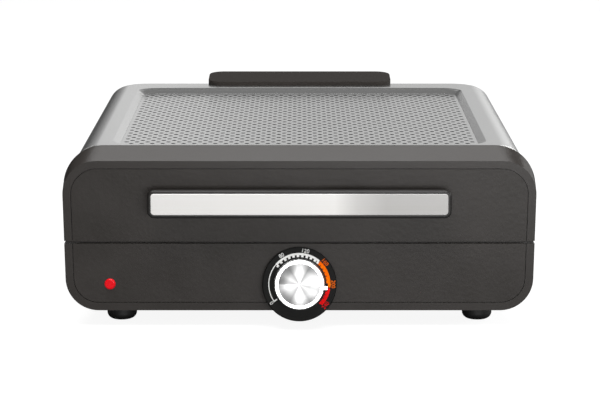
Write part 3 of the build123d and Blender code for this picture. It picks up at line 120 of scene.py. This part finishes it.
world = bpy.data.worlds.new("studio")
bpy.context.scene.world = world
world.use_nodes = True
sky = world.node_tree
direction = sky.nodes.new("ShaderNodeTexCoord")
part = sky.nodes.new("ShaderNodeSeparateXYZ")
sky.links.new(direction.outputs["Generated"], part.inputs["Vector"])
side = sky.nodes.new("ShaderNodeMapRange")
side.inputs["From Min"].default_value = -1.0
sky.links.new(part.outputs["X"], side.inputs["Value"])
across = sky.nodes.new("ShaderNodeValToRGB")
while len(across.color_ramp.elements) < len(SKY_STOPS):
    across.color_ramp.elements.new(1.0)
for stop, (sky_x, strength) in zip(across.color_ramp.elements, SKY_STOPS):
    stop.position = (sky_x + 1) / 2
    stop.color = (strength, strength, strength, 1)
sky.links.new(side.outputs["Result"], across.inputs["Fac"])
height = sky.nodes.new("ShaderNodeMapRange")
height.inputs["From Min"].default_value = HIGH_FROM
height.inputs["From Max"].default_value = HIGH_TO
sky.links.new(part.outputs["Z"], height.inputs["Value"])
blend = sky.nodes.new("ShaderNodeMix")
sky.links.new(height.outputs["Result"], blend.inputs["Factor"])
sky.links.new(across.outputs["Color"], blend.inputs["A"])
blend.inputs["B"].default_value = HIGH_SKY
sky.links.new(blend.outputs["Result"], sky.nodes["Background"].inputs["Strength"])
sky.nodes["Background"].inputs["Color"].default_value = (1.0, 1.0, 1.0, 1)


# ------------------------------------------------------------------ finishes
# Each finish is a Principled surface whose colour, roughness and small relief
# vary with noise in the object's own coordinates.
CLOUD_LOW, CLOUD_HIGH = 0.3, 0.7
RELIEF_DEPTH = 0.0002


def finish(name, low, high, rough, metal=0.0, scale=60.0, stretch=(1, 1, 1), relief=0.0,
           relief_scale=900.0, relief_stretch=None, rough_swing=0.06, **sockets):
    """A named finish: colour runs from low to high and roughness round rough with noise."""
    material = bpy.data.materials.new(name)
    material.use_nodes = True
    tree = material.node_tree
    shader = tree.nodes["Principled BSDF"]
    place = tree.nodes.new("ShaderNodeTexCoord")

    def noise(size, pull, detail):
        turn = tree.nodes.new("ShaderNodeMapping")
        turn.inputs["Scale"].default_value = pull
        tree.links.new(place.outputs["Object"], turn.inputs["Vector"])
        field = tree.nodes.new("ShaderNodeTexNoise")
        field.inputs["Scale"].default_value = size
        field.inputs["Detail"].default_value = detail
        tree.links.new(turn.outputs["Vector"], field.inputs["Vector"])
        return field

    cloud = noise(scale, stretch, 4.0)
    ramp = tree.nodes.new("ShaderNodeValToRGB")
    ramp.color_ramp.elements[0].position = CLOUD_LOW
    ramp.color_ramp.elements[1].position = CLOUD_HIGH
    ramp.color_ramp.elements[0].color = (*low, 1)
    ramp.color_ramp.elements[1].color = (*high, 1)
    tree.links.new(cloud.outputs["Fac"], ramp.inputs["Fac"])
    tree.links.new(ramp.outputs["Color"], shader.inputs["Base Color"])
    spread = tree.nodes.new("ShaderNodeMapRange")
    spread.inputs["To Min"].default_value = rough - rough_swing
    spread.inputs["To Max"].default_value = rough + rough_swing
    tree.links.new(cloud.outputs["Fac"], spread.inputs["Value"])
    tree.links.new(spread.outputs["Result"], shader.inputs["Roughness"])
    if relief:
        grain = noise(relief_scale, relief_stretch or stretch, 2.0)
        bump = tree.nodes.new("ShaderNodeBump")
        bump.inputs["Strength"].default_value = relief
        bump.inputs["Distance"].default_value = RELIEF_DEPTH
        tree.links.new(grain.outputs["Fac"], bump.inputs["Height"])
        tree.links.new(bump.outputs["Normal"], shader.inputs["Normal"])
    shader.inputs["Metallic"].default_value = metal
    for socket, value in sockets.items():
        shader.inputs[socket.replace("_", " ")].default_value = value
    return material


floor_finish = finish("studio_floor", (FLOOR_GREY,) * 3, (FLOOR_GREY * FLOOR_SWING,) * 3,
                      0.9, scale=3, Emission_Color=(1, 1, 1, 1))
seen = floor_finish.node_tree.nodes.new("ShaderNodeLightPath")
glow = floor_finish.node_tree.nodes.new("ShaderNodeMath")
glow.operation = "MULTIPLY"
glow.inputs[1].default_value = FLOOR_GLOW
floor_finish.node_tree.links.new(seen.outputs["Is Camera Ray"], glow.inputs[0])
floor_finish.node_tree.links.new(
    glow.outputs["Value"], floor_finish.node_tree.nodes["Principled BSDF"].inputs["Emission Strength"]
)
floor_mesh = bpy.data.meshes.new("floor")
half = FLOOR_SIZE / 2
floor_mesh.from_pydata(
    [(-half, -half, 0), (half, -half, 0), (half, half, 0), (-half, half, 0)], [], [(0, 1, 2, 3)]
)
floor = bpy.data.objects.new("floor", floor_mesh)
bpy.context.scene.collection.objects.link(floor)
floor_mesh.materials.append(floor_finish)

panel_finish = finish("panel_plastic", (0.029, 0.025, 0.022), (0.034, 0.029, 0.026), 0.34,
                      scale=18, relief=0.25, relief_scale=1500, Specular_IOR_Level=0.42)
fascia_finish = finish("fascia_plastic", (0.026, 0.022, 0.019), (0.036, 0.031, 0.028), 0.40,
                       scale=26, relief=0.5, relief_scale=260, Specular_IOR_Level=0.38)
cover_finish = finish("cover_plastic", (0.034, 0.030, 0.027), (0.039, 0.034, 0.031), 0.60,
                      scale=18, relief=0.25, relief_scale=1500, Specular_IOR_Level=0.06)
handle_finish = finish("handle_plastic", (0.010, 0.009, 0.008), (0.015, 0.013, 0.012), 0.38,
                       scale=40, relief=0.2, relief_scale=1800)
shell_finish = finish("shell_plastic", (0.020, 0.018, 0.017), (0.027, 0.025, 0.023), 0.50,
                      scale=30, relief=0.4, relief_scale=1300)
silver_finish = finish("silver_sheet", (0.64, 0.64, 0.635), (0.68, 0.68, 0.675), 0.22, metal=0.95,
                       scale=14, relief=0.10, relief_scale=2600, rough_swing=0.03)
# The strip is near white and not metal, so its brightness is a painted reflection standing in for
# brushed metal.
strip_painted_reflection_finish = finish("brushed_strip_painted_reflection", (0.97, 0.95, 0.92), (1.0, 0.99, 0.97), 0.34, metal=0.0,
                      scale=120, stretch=(0.02, 1, 6), relief=0.12, relief_scale=700,
                      relief_stretch=(0.01, 1, 5), rough_swing=0.05)
# Painted reflection: the strip's grey falls off to its right, from white to grey, as a mirrored room
# would.
# Each pair is a place along X and the grey there, painted as a steady tone.
STRIP_PAINTED_REFLECTION = (
    (-0.129, 0.93), (-0.03, 0.96), (0.03, 1.0), (0.05, 0.72), (0.075, 0.58), (0.129, 0.60),
)
tree = strip_painted_reflection_finish.node_tree
shader = tree.nodes["Principled BSDF"]
spot = tree.nodes.new("ShaderNodeSeparateXYZ")
tree.links.new(tree.nodes["Texture Coordinate"].outputs["Object"], spot.inputs["Vector"])
reach = tree.nodes.new("ShaderNodeMapRange")
reach.inputs["From Min"].default_value = STRIP_PAINTED_REFLECTION[0][0]
reach.inputs["From Max"].default_value = STRIP_PAINTED_REFLECTION[-1][0]
tree.links.new(spot.outputs["X"], reach.inputs["Value"])
painted_reflection_ramp = tree.nodes.new("ShaderNodeValToRGB")
while len(painted_reflection_ramp.color_ramp.elements) < len(STRIP_PAINTED_REFLECTION):
    painted_reflection_ramp.color_ramp.elements.new(1.0)
for stop, (strip_x, grey) in zip(painted_reflection_ramp.color_ramp.elements, STRIP_PAINTED_REFLECTION):
    stop.position = (strip_x - STRIP_PAINTED_REFLECTION[0][0]) / (STRIP_PAINTED_REFLECTION[-1][0] - STRIP_PAINTED_REFLECTION[0][0])
    stop.color = (grey, grey, grey, 1)
tree.links.new(reach.outputs["Result"], painted_reflection_ramp.inputs["Fac"])
painted_reflection_mix = tree.nodes.new("ShaderNodeMix")
painted_reflection_mix.data_type = "RGBA"
painted_reflection_mix.blend_type = "MULTIPLY"
painted_reflection_mix.inputs["Factor"].default_value = 1.0
tree.links.new(shader.inputs["Base Color"].links[0].from_socket, painted_reflection_mix.inputs[6])
tree.links.new(painted_reflection_ramp.outputs["Color"], painted_reflection_mix.inputs[7])
tree.links.new(painted_reflection_mix.outputs[2], shader.inputs["Base Color"])
dial_finish = finish("dial_black", (0.006, 0.006, 0.006), (0.010, 0.010, 0.009), 0.50,
                     scale=80, relief=0.15, relief_scale=2400, Specular_IOR_Level=0.10)
white_print = finish("white_print", (0.86, 0.86, 0.84), (0.92, 0.92, 0.90), 0.7, scale=200,
                     Specular_IOR_Level=0.1)
orange_print = finish("orange_print", (1.0, 0.13, 0.0), (1.0, 0.20, 0.0), 0.7, scale=200,
                      Specular_IOR_Level=0.05)
red_print = finish("red_print", (0.86, 0.006, 0.008), (0.95, 0.012, 0.012), 0.7, scale=200,
                   Specular_IOR_Level=0.05)
lens_finish = finish("red_lens", (0.62, 0.003, 0.008), (0.80, 0.006, 0.015), 0.20, scale=90,
                     rough_swing=0.03, Specular_IOR_Level=0.3, Emission_Color=(1.0, 0.003, 0.012, 1),
                     Emission_Strength=0.22)
knob_finish = finish("satin_plating", (0.80, 0.80, 0.80), (0.88, 0.88, 0.88), 0.24, metal=0.85,
                     scale=60, relief=0.05, rough_swing=0.03)
rubber_finish = finish("foot_rubber", (0.008, 0.008, 0.008), (0.014, 0.014, 0.013), 0.55,
                       scale=120, relief=0.4, relief_scale=1600)
coating_finish = finish("nonstick_coating", (0.018, 0.018, 0.019), (0.034, 0.034, 0.035), 0.38,
                        metal=0.3, scale=1400, relief=0.3, relief_scale=2200)
tray_finish = finish("pressed_aluminium", (0.40, 0.40, 0.41), (0.52, 0.52, 0.53), 0.40, metal=1.0,
                     scale=50, stretch=(1, 0.1, 1), relief=0.15)
pan_finish = finish("aluminised_sheet", (0.48, 0.47, 0.45), (0.62, 0.61, 0.60), 0.42, metal=1.0,
                    scale=35, relief=0.2, relief_scale=500)
element_finish = finish("oxidised_tube", (0.035, 0.034, 0.030), (0.09, 0.085, 0.075), 0.6, metal=0.6,
                        scale=150, relief=0.4, relief_scale=1200)
plate_finish = finish("zinc_plate", (0.42, 0.42, 0.41), (0.58, 0.58, 0.57), 0.36, metal=1.0,
                      scale=110, relief=0.15)
ceramic_finish = finish("ceramic_body", (0.72, 0.70, 0.66), (0.80, 0.78, 0.74), 0.7, scale=300,
                        relief=0.3)
phenolic_finish = finish("phenolic_housing", (0.05, 0.035, 0.025), (0.08, 0.055, 0.04), 0.4, scale=200,
                         relief=0.2)
copper_finish = finish("drawn_copper", (0.60, 0.33, 0.20), (0.75, 0.45, 0.30), 0.3, metal=1.0,
                       scale=200, relief=0.1)
lamp_finish = finish("lamp_holder", (0.62, 0.60, 0.55), (0.70, 0.68, 0.62), 0.5, scale=150, relief=0.1)
brown_lead = finish("brown_lead", (0.16, 0.07, 0.03), (0.22, 0.10, 0.045), 0.45, scale=300, relief=0.1)
blue_lead = finish("blue_lead", (0.02, 0.08, 0.34), (0.04, 0.12, 0.44), 0.45, scale=300, relief=0.1)
green_lead = finish("green_lead", (0.08, 0.28, 0.05), (0.55, 0.50, 0.06), 0.45, scale=90, relief=0.1)

# The sheet's punched edges lie in shadow, so the mesh is painted darker where it faces sideways:
# painted shade.
# The perforated sheet is silver on its flats and painted dark on the walls of its holes,
# told apart in the sheet's own frame, so it stays so when the lid opens.
FLAT_FACING = 0.5
HOLE_WALL_PAINTED_SHADE = 0.002
hole_shade_sheet_finish = silver_finish.copy()
hole_shade_sheet_finish.name = "perforated_sheet_painted_shade"
tree = hole_shade_sheet_finish.node_tree
shader = tree.nodes["Principled BSDF"]
facing = tree.nodes.new("ShaderNodeNewGeometry")
upward = tree.nodes.new("ShaderNodeSeparateXYZ")
own = tree.nodes.new("ShaderNodeVectorTransform")
own.vector_type = "NORMAL"
own.convert_from = "WORLD"
own.convert_to = "OBJECT"
tree.links.new(facing.outputs["True Normal"], own.inputs["Vector"])
tree.links.new(own.outputs["Vector"], upward.inputs["Vector"])
either = tree.nodes.new("ShaderNodeMath")
either.operation = "ABSOLUTE"
tree.links.new(upward.outputs["Z"], either.inputs[0])
edge = tree.nodes.new("ShaderNodeMath")
edge.operation = "GREATER_THAN"
edge.inputs[1].default_value = FLAT_FACING
tree.links.new(either.outputs["Value"], edge.inputs[0])
shade = tree.nodes.new("ShaderNodeMix")
shade.data_type = "RGBA"
shade.inputs[6].default_value = (HOLE_WALL_PAINTED_SHADE, HOLE_WALL_PAINTED_SHADE, HOLE_WALL_PAINTED_SHADE, 1)
tree.links.new(edge.outputs["Value"], shade.inputs["Factor"])
tree.links.new(shader.inputs["Base Color"].links[0].from_socket, shade.inputs[7])
tree.links.new(shade.outputs[2], shader.inputs["Base Color"])

slot_finish = {
    "panel": panel_finish, "fascia": fascia_finish, "handle": handle_finish, "strip": strip_painted_reflection_finish,
    "silver": silver_finish, "shell": shell_finish, "dial": dial_finish, "knob": knob_finish,
    "knob_face": knob_finish, "pointer": knob_finish, "lens": lens_finish, "lamp": lamp_finish,
    "coating": coating_finish, "tray": tray_finish, "pan": pan_finish, "element": element_finish,
    "gland": rubber_finish, "ceramic_white": ceramic_finish, "thermostat": phenolic_finish,
    "copper": copper_finish, "wire_brown": brown_lead, "wire_blue": blue_lead,
    "wire_green": green_lead, "steel": plate_finish, "screw": plate_finish, "rubber": rubber_finish,
}
node_slot = {part["node"]: part["material_slot"] for part in frame["record"]["subparts"]}
for node_name, node in nodes.items():
    node.data.materials.clear()
    node.data.materials.append(slot_finish[node_slot[node_name]])
nodes["mesh_panel"].data.materials[0] = hole_shade_sheet_finish


# ------------------------------------------------------------------ mouldings
# The outer mouldings and pressings are the CAD shapes with welded vertices,
# clean flats and a small rolled edge, so their curves and edges take light.
SMOOTH_ANGLE = radians(32)
FLAT_ANGLE = radians(0.4)
WELD = 1e-6


def place(name, mesh, material, body, slot_name):
    """A new piece from a mesh in the row frame, riding on a body."""
    mesh.materials.clear()
    mesh.materials.append(material)
    piece = bpy.data.objects.new(name, mesh)
    bpy.context.scene.collection.objects.link(piece)
    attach(piece, body)
    return piece


def rolled(piece_name, node_names, roll, steps=2):
    """Welded copies of CAD nodes as one piece, its sharp edges rolled, that stands for the nodes."""
    shape = bmesh.new()
    for node_name in node_names:
        shape.from_mesh(nodes[node_name].data)
    bmesh.ops.remove_doubles(shape, verts=shape.verts, dist=WELD)
    bmesh.ops.dissolve_limit(
        shape, angle_limit=FLAT_ANGLE, verts=shape.verts, edges=shape.edges, delimit={"NORMAL"}
    )
    for edge in shape.edges:
        edge.smooth = roll > 0 or len(edge.link_faces) != 2 or edge.calc_face_angle(0) < SMOOTH_ANGLE
    for face in shape.faces:
        face.smooth = True
    mesh = bpy.data.meshes.new(piece_name)
    shape.to_mesh(mesh)
    shape.free()
    first = node_names[0]
    piece = place(
        piece_name, mesh, slot_finish[node_slot[first]], nodes[first]["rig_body"], node_slot[first]
    )
    if roll:
        bevel = piece.modifiers.new("rolled_edge", "BEVEL")
        bevel.width = roll
        bevel.segments = steps
        bevel.limit_method = "ANGLE"
        bevel.angle_limit = SMOOTH_ANGLE
        piece.modifiers.new("even_shading", "WEIGHTED_NORMAL")
    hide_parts(*node_names)
    return piece


# ------------------------------------------------------------------ lid
# The front of the lid is a dark moulded frame with a sloped brow round a flat
# grained fascia. Behind it a drawn silver pressing makes the roof and sides.
rolled("lid_front_bezel", ["lid_bezel"], 0.0005)
rolled("lid_front_fascia", ["lid_fascia"], 0.0003)
rolled("silver_lid_shell", ["lid_shell"], 0.0003)

# ------------------------------------------------------------------ handle
# A bar handle across the lid's front, moulded dark, with a brushed metal strip
# let into its face.
rolled("handle_grip_bar", ["handle_bar"], 0.0003)
rolled("handle_metal_strip", ["handle_strip"], 0.0002)

# ------------------------------------------------------------------ rear hinge
# A plain dark cover on the lid's back edge turns on two rods held by a tower
# that stands on the base. The cover is duller than the other mouldings.
rolled("rear_hinge_cover", ["hinge_cover"], 0.0004).data.materials[0] = cover_finish
rolled("rear_hinge_tower", ["hinge_tower"], 0.0005)
rolled("hinge_rods", ["hinge_pins"], 0)

# ------------------------------------------------------------------ base
# The base is a dark moulded tub on four rubber feet, with a framed fascia in
# front that carries the controls, and a bush where the mains lead enters.
rolled("base_front_bezel", ["base_bezel"], 0.0005)
rolled("base_front_fascia", ["base_fascia"], 0.0003)
rolled(
    "lower_base_tub", ["base_floor_pan", "base_rear_wall", "base_side_left", "base_side_right"], 0
)
rolled("cord_bush", ["cord_gland"], 0.0002)
for corner_name in ("front_left", "front_right", "rear_left", "rear_right"):
    rolled("rubber_" + corner_name, ["foot_" + corner_name], 0)

# ------------------------------------------------------------------ cooking
# A cast plate with a non-stick coat lies over a bent tube element and a bright
# reflector pan. A pressed tray under them catches the drips.
rolled("cast_griddle_plate", ["griddle_plate"], 0.0004)
rolled("pull_out_drip_tray", ["drip_tray"], 0.0003)
rolled("pan_reflector", ["reflector_pan"], 0)
rolled("tube_element", ["heating_element"], 0)

# ------------------------------------------------------------------ leads
# Four insulated leads inside the base, each a round wire in its own colour.
for lead_name in ("wire_live", "wire_neutral", "wire_switched", "wire_earth"):
    rolled("lead_" + lead_name, [lead_name], 0)

# ------------------------------------------------------------------ controls
# A black dial plate lies under a plated knob: a ring, with a small tab that
# points to the scale.
rolled("control_dial_plate", ["dial_plate"], 0.0002)
rolled("knob_ring", ["knob_skirt"], 0.0002)
rolled("knob_tab", ["knob_pointer"], 0.0004)

# ------------------------------------------------------------------ knob face
# The face of the knob is a thin disc of spun metal with very fine rings, on the tilted axis of the
# controls.
# Radial wedge-shaped bands of light and dark are painted highlights and painted shade in its colour.
knob_joint = next(joint for joint in frame["joints"] if joint["name"] == "knob_turn")
AXIS_POINT = np.array(knob_joint["pos_m"])
AXIS = np.array(knob_joint["axis"])
AXIS = AXIS / np.linalg.norm(AXIS)
RIGHT = np.array((1.0, 0.0, 0.0))
RISE = np.cross(AXIS, RIGHT)
FACE_EDGE = 0.0004
FACE_EDGE_HALFWAY = 0.3
FACE_CENTRE = 0.00005
FACE_MIDDLE = 0.5
FACE_TURNS = 96


def points_of(node_name):
    """Vertices of a CAD node as rows of X, Y and Z."""
    mesh = nodes[node_name].data
    flat = np.empty(len(mesh.vertices) * 3, dtype=np.float32)
    mesh.vertices.foreach_get("co", flat)
    return flat.reshape(-1, 3).astype(float)


def on_axis(across, up, out):
    """Points of the row frame from coordinates across, up and out along the controls' axis."""
    across, up, out = np.broadcast_arrays(across, up, out)
    return (
        AXIS_POINT + across[..., None] * RIGHT + up[..., None] * RISE + out[..., None] * AXIS
    )


def grid_mesh(name, grid, close=False):
    """A mesh of quads between neighbours of a grid of points, closed along its second way if asked."""
    rows, columns = grid.shape[:2]
    index = np.arange(rows * columns).reshape(rows, columns)
    if close:
        index = np.concatenate([index, index[:, :1]], axis=1)
    faces = np.stack(
        [index[:-1, :-1], index[:-1, 1:], index[1:, 1:], index[1:, :-1]], axis=-1
    ).reshape(-1, 4)
    mesh = bpy.data.meshes.new(name)
    mesh.from_pydata(grid.reshape(-1, 3).tolist(), [], faces.tolist())
    mesh.shade_smooth()
    return mesh


def turned(name, radii, outs, turns):
    """A profile of radius and height turned about the controls' axis.

    Each ring's points are the radius times the cos and the sin of their angle.
    """
    angle = np.arange(turns) * (2 * pi / turns)
    radii = np.array(radii)[:, None]
    outs = np.array(outs)[:, None]
    return grid_mesh(name, on_axis(radii * np.cos(angle), radii * np.sin(angle), outs), close=True)


cap_points = points_of("knob_cap") - AXIS_POINT
cap_out = (cap_points @ AXIS).max()
cap_in = (cap_points @ AXIS).min()
cap_radius = np.hypot(cap_points @ RIGHT, cap_points @ RISE).max()
face_mesh = turned(
    "knob_spun_face",
    [FACE_CENTRE, cap_radius * FACE_MIDDLE, cap_radius - FACE_EDGE,
     cap_radius - FACE_EDGE * FACE_EDGE_HALFWAY, cap_radius, cap_radius],
    [cap_out, cap_out, cap_out, cap_out - FACE_EDGE * FACE_EDGE_HALFWAY, cap_out - FACE_EDGE, cap_in],
    FACE_TURNS,
)

# Angle in degrees from the right, anticlockwise, and the grey there, painted as the spun face's
# highlight and shade.
PAINTED_SPUN_HIGHLIGHTS = (
    (0, 0.95), (12, 0.90), (30, 0.55), (60, 0.26), (76, 0.70), (83, 1.0), (97, 1.0), (104, 0.70),
    (122, 0.28), (150, 0.55), (166, 0.36), (177, 0.40), (181, 1.0), (192, 0.95), (208, 0.55),
    (240, 0.30), (256, 0.70), (263, 1.0), (277, 1.0), (284, 0.70), (302, 0.30), (330, 0.55),
    (344, 0.36), (355, 0.42), (359, 0.90),
)
RING_PITCH = 9000.0
GROOVE_RELIEF = 0.12
GROOVE_DEPTH = 0.00005
POLISH_LOW, POLISH_HIGH = 0.28, 0.42
SPUN_METALLIC = 0.6

spun = bpy.data.materials.new("spun_metal_painted_highlights")
spun.use_nodes = True
tree = spun.node_tree
shader = tree.nodes["Principled BSDF"]
coordinate = tree.nodes.new("ShaderNodeTexCoord")
centre = tree.nodes.new("ShaderNodeVectorMath")
centre.operation = "SUBTRACT"
centre.inputs[1].default_value = AXIS_POINT
tree.links.new(coordinate.outputs["Object"], centre.inputs[0])
reach = []
for way in (RIGHT, RISE):
    along = tree.nodes.new("ShaderNodeVectorMath")
    along.operation = "DOT_PRODUCT"
    along.inputs[1].default_value = way
    tree.links.new(centre.outputs["Vector"], along.inputs[0])
    reach.append(along.outputs["Value"])
turn = tree.nodes.new("ShaderNodeMath")
turn.operation = "ARCTAN2"
tree.links.new(reach[1], turn.inputs[0])
tree.links.new(reach[0], turn.inputs[1])
wrap = tree.nodes.new("ShaderNodeMath")
wrap.operation = "MULTIPLY_ADD"
wrap.inputs[1].default_value = 1 / (2 * pi)
wrap.inputs[2].default_value = 1.0
tree.links.new(turn.outputs["Value"], wrap.inputs[0])
fraction = tree.nodes.new("ShaderNodeMath")
fraction.operation = "FRACT"
tree.links.new(wrap.outputs["Value"], fraction.inputs[0])
# Painted highlights: these greys go into the base colour and turn with the knob.
painted_highlight_ramp = tree.nodes.new("ShaderNodeValToRGB")
stops = painted_highlight_ramp.color_ramp.elements
while len(stops) < len(PAINTED_SPUN_HIGHLIGHTS):
    stops.new(1.0)
for stop, (angle, grey) in zip(stops, PAINTED_SPUN_HIGHLIGHTS):
    stop.position = angle / 360
    stop.color = (grey, grey, grey, 1)
tree.links.new(fraction.outputs["Value"], painted_highlight_ramp.inputs["Fac"])
tree.links.new(painted_highlight_ramp.outputs["Color"], shader.inputs["Base Color"])
radius = tree.nodes.new("ShaderNodeVectorMath")
radius.operation = "LENGTH"
tree.links.new(centre.outputs["Vector"], radius.inputs[0])
rings = tree.nodes.new("ShaderNodeTexNoise")
rings.noise_dimensions = "1D"
rings.inputs["Scale"].default_value = RING_PITCH
tree.links.new(radius.outputs["Value"], rings.inputs["W"])
groove = tree.nodes.new("ShaderNodeBump")
groove.inputs["Strength"].default_value = GROOVE_RELIEF
groove.inputs["Distance"].default_value = GROOVE_DEPTH
tree.links.new(rings.outputs["Fac"], groove.inputs["Height"])
tree.links.new(groove.outputs["Normal"], shader.inputs["Normal"])
polish = tree.nodes.new("ShaderNodeMapRange")
polish.inputs["To Min"].default_value = POLISH_LOW
polish.inputs["To Max"].default_value = POLISH_HIGH
tree.links.new(rings.outputs["Fac"], polish.inputs["Value"])
tree.links.new(polish.outputs["Result"], shader.inputs["Roughness"])
shader.inputs["Metallic"].default_value = SPUN_METALLIC
knob_face = place("knob_spun_face", face_mesh, spun, "knob", "knob_face")
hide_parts("knob_cap")

# ------------------------------------------------------------------ dial print
# The scale is printed on the dial plate round the knob: a thin white arc from
# the off mark, white steps over the top, an orange run and a red end.
PRINT_RISE = 0.00006
ARC_STEP = radians(2.0)
THIN_ARC = (0.0265, 0.0273, 214, 140)
WHITE_ARC = (0.0256, 0.0275, 140, 49)
ORANGE_ARC = (0.0250, 0.0273, 48, -6)
RED_ARC = (0.0250, 0.0273, -8, -43)
TICK_INNER = 0.0238
WHITE_TICKS = (140, 130, 120, 111, 102, 93, 84, 75, 66, 57, 50)
ORANGE_TICKS = (45, 37, 29, 21, 13, 5)
RED_TICKS = (-18, -26, -34, -41)
TICK_WIDTH = 0.0022
WARM_TICK_WIDTH = 0.0027
OFF_TICK_WIDTH = 0.00132
OFF_TICK = (0.0236, 0.0274, 214)
LABEL_RADIUS = 0.0296
LABEL_HEIGHT = 0.0036
FONT_PER_HEIGHT = 1.35
UPSIDE_DOWN_BELOW = -0.1
LABELS = (
    ("0", 214, white_print), ("80", 122, white_print), ("120", 80, white_print),
    ("160", 41, orange_print), ("200", 0, orange_print), ("240", -39, red_print),
)

dial_out = ((points_of("dial_plate") - AXIS_POINT) @ AXIS).max() + PRINT_RISE


def arc_print(name, inner, outer, start, end, material):
    """A flat band round the axis: radius runs from inner to outer and the angle from start to end."""
    steps = max(2, int(abs(radians(start - end)) / ARC_STEP) + 1)
    angle = np.radians(np.linspace(start, end, steps))[None, :]
    radii = np.array([inner, outer])[:, None]
    mesh = grid_mesh(name, on_axis(radii * np.cos(angle), radii * np.sin(angle), dial_out))
    return place(name, mesh, material, "base", "dial")


def tick_print(name, angles, inner, outer, width, material):
    """Flat bars along the radii at the given angles, all one piece."""
    angle = np.radians(np.array(angles, dtype=float))
    along = np.stack([np.cos(angle), np.sin(angle)], axis=-1)
    side = np.stack([-np.sin(angle), np.cos(angle)], axis=-1) * width / 2
    corners = np.stack(
        [along * inner - side, along * outer - side, along * outer + side, along * inner + side], axis=1
    ).reshape(-1, 2)
    mesh = bpy.data.meshes.new(name)
    mesh.from_pydata(
        on_axis(corners[:, 0], corners[:, 1], dial_out).tolist(), [],
        np.arange(len(corners)).reshape(-1, 4).tolist(),
    )
    return place(name, mesh, material, "base", "dial")


def label_print(name, words, angle, material):
    """Flat figures, upright along the radius at the given angle and centred on the label circle."""
    curve = bpy.data.curves.new(name, "FONT")
    curve.body = words
    curve.size = LABEL_HEIGHT * FONT_PER_HEIGHT
    curve.align_x = "CENTER"
    curve.align_y = "CENTER"
    flat = bpy.data.objects.new(name + "_curve", curve)
    bpy.context.scene.collection.objects.link(flat)
    mesh = bpy.data.meshes.new_from_object(flat.evaluated_get(bpy.context.evaluated_depsgraph_get()))
    bpy.data.objects.remove(flat)
    mesh.name = name
    flat_points = np.empty(len(mesh.vertices) * 3, dtype=np.float32)
    mesh.vertices.foreach_get("co", flat_points)
    flat_points = flat_points.reshape(-1, 3).astype(float)
    spin = radians(angle) - pi / 2
    if sin(radians(angle)) < UPSIDE_DOWN_BELOW:
        spin += pi
    across = cos(spin) * flat_points[:, 0] - sin(spin) * flat_points[:, 1]
    across += LABEL_RADIUS * cos(radians(angle))
    up = sin(spin) * flat_points[:, 0] + cos(spin) * flat_points[:, 1]
    up += LABEL_RADIUS * sin(radians(angle))
    mesh.vertices.foreach_set("co", on_axis(across, up, dial_out).astype(np.float32).ravel())
    mesh.update()
    return place(name, mesh, material, "base", "dial")


arc_print("scale_thin_arc", *THIN_ARC, white_print)
arc_print("scale_white_arc", *WHITE_ARC, white_print)
arc_print("scale_orange_arc", *ORANGE_ARC, orange_print)
arc_print("scale_red_arc", *RED_ARC, red_print)
tick_print("scale_white_steps", WHITE_TICKS, TICK_INNER, WHITE_ARC[0], TICK_WIDTH, white_print)
tick_print("scale_orange_steps", ORANGE_TICKS, TICK_INNER, ORANGE_ARC[0], WARM_TICK_WIDTH, orange_print)
tick_print("scale_red_steps", RED_TICKS, TICK_INNER, RED_ARC[0], WARM_TICK_WIDTH, red_print)
tick_print("scale_off_mark", OFF_TICK[2:], *OFF_TICK[:2], OFF_TICK_WIDTH, white_print)
for words, angle, material in LABELS:
    label_print("scale_label_" + words, words, angle, material)
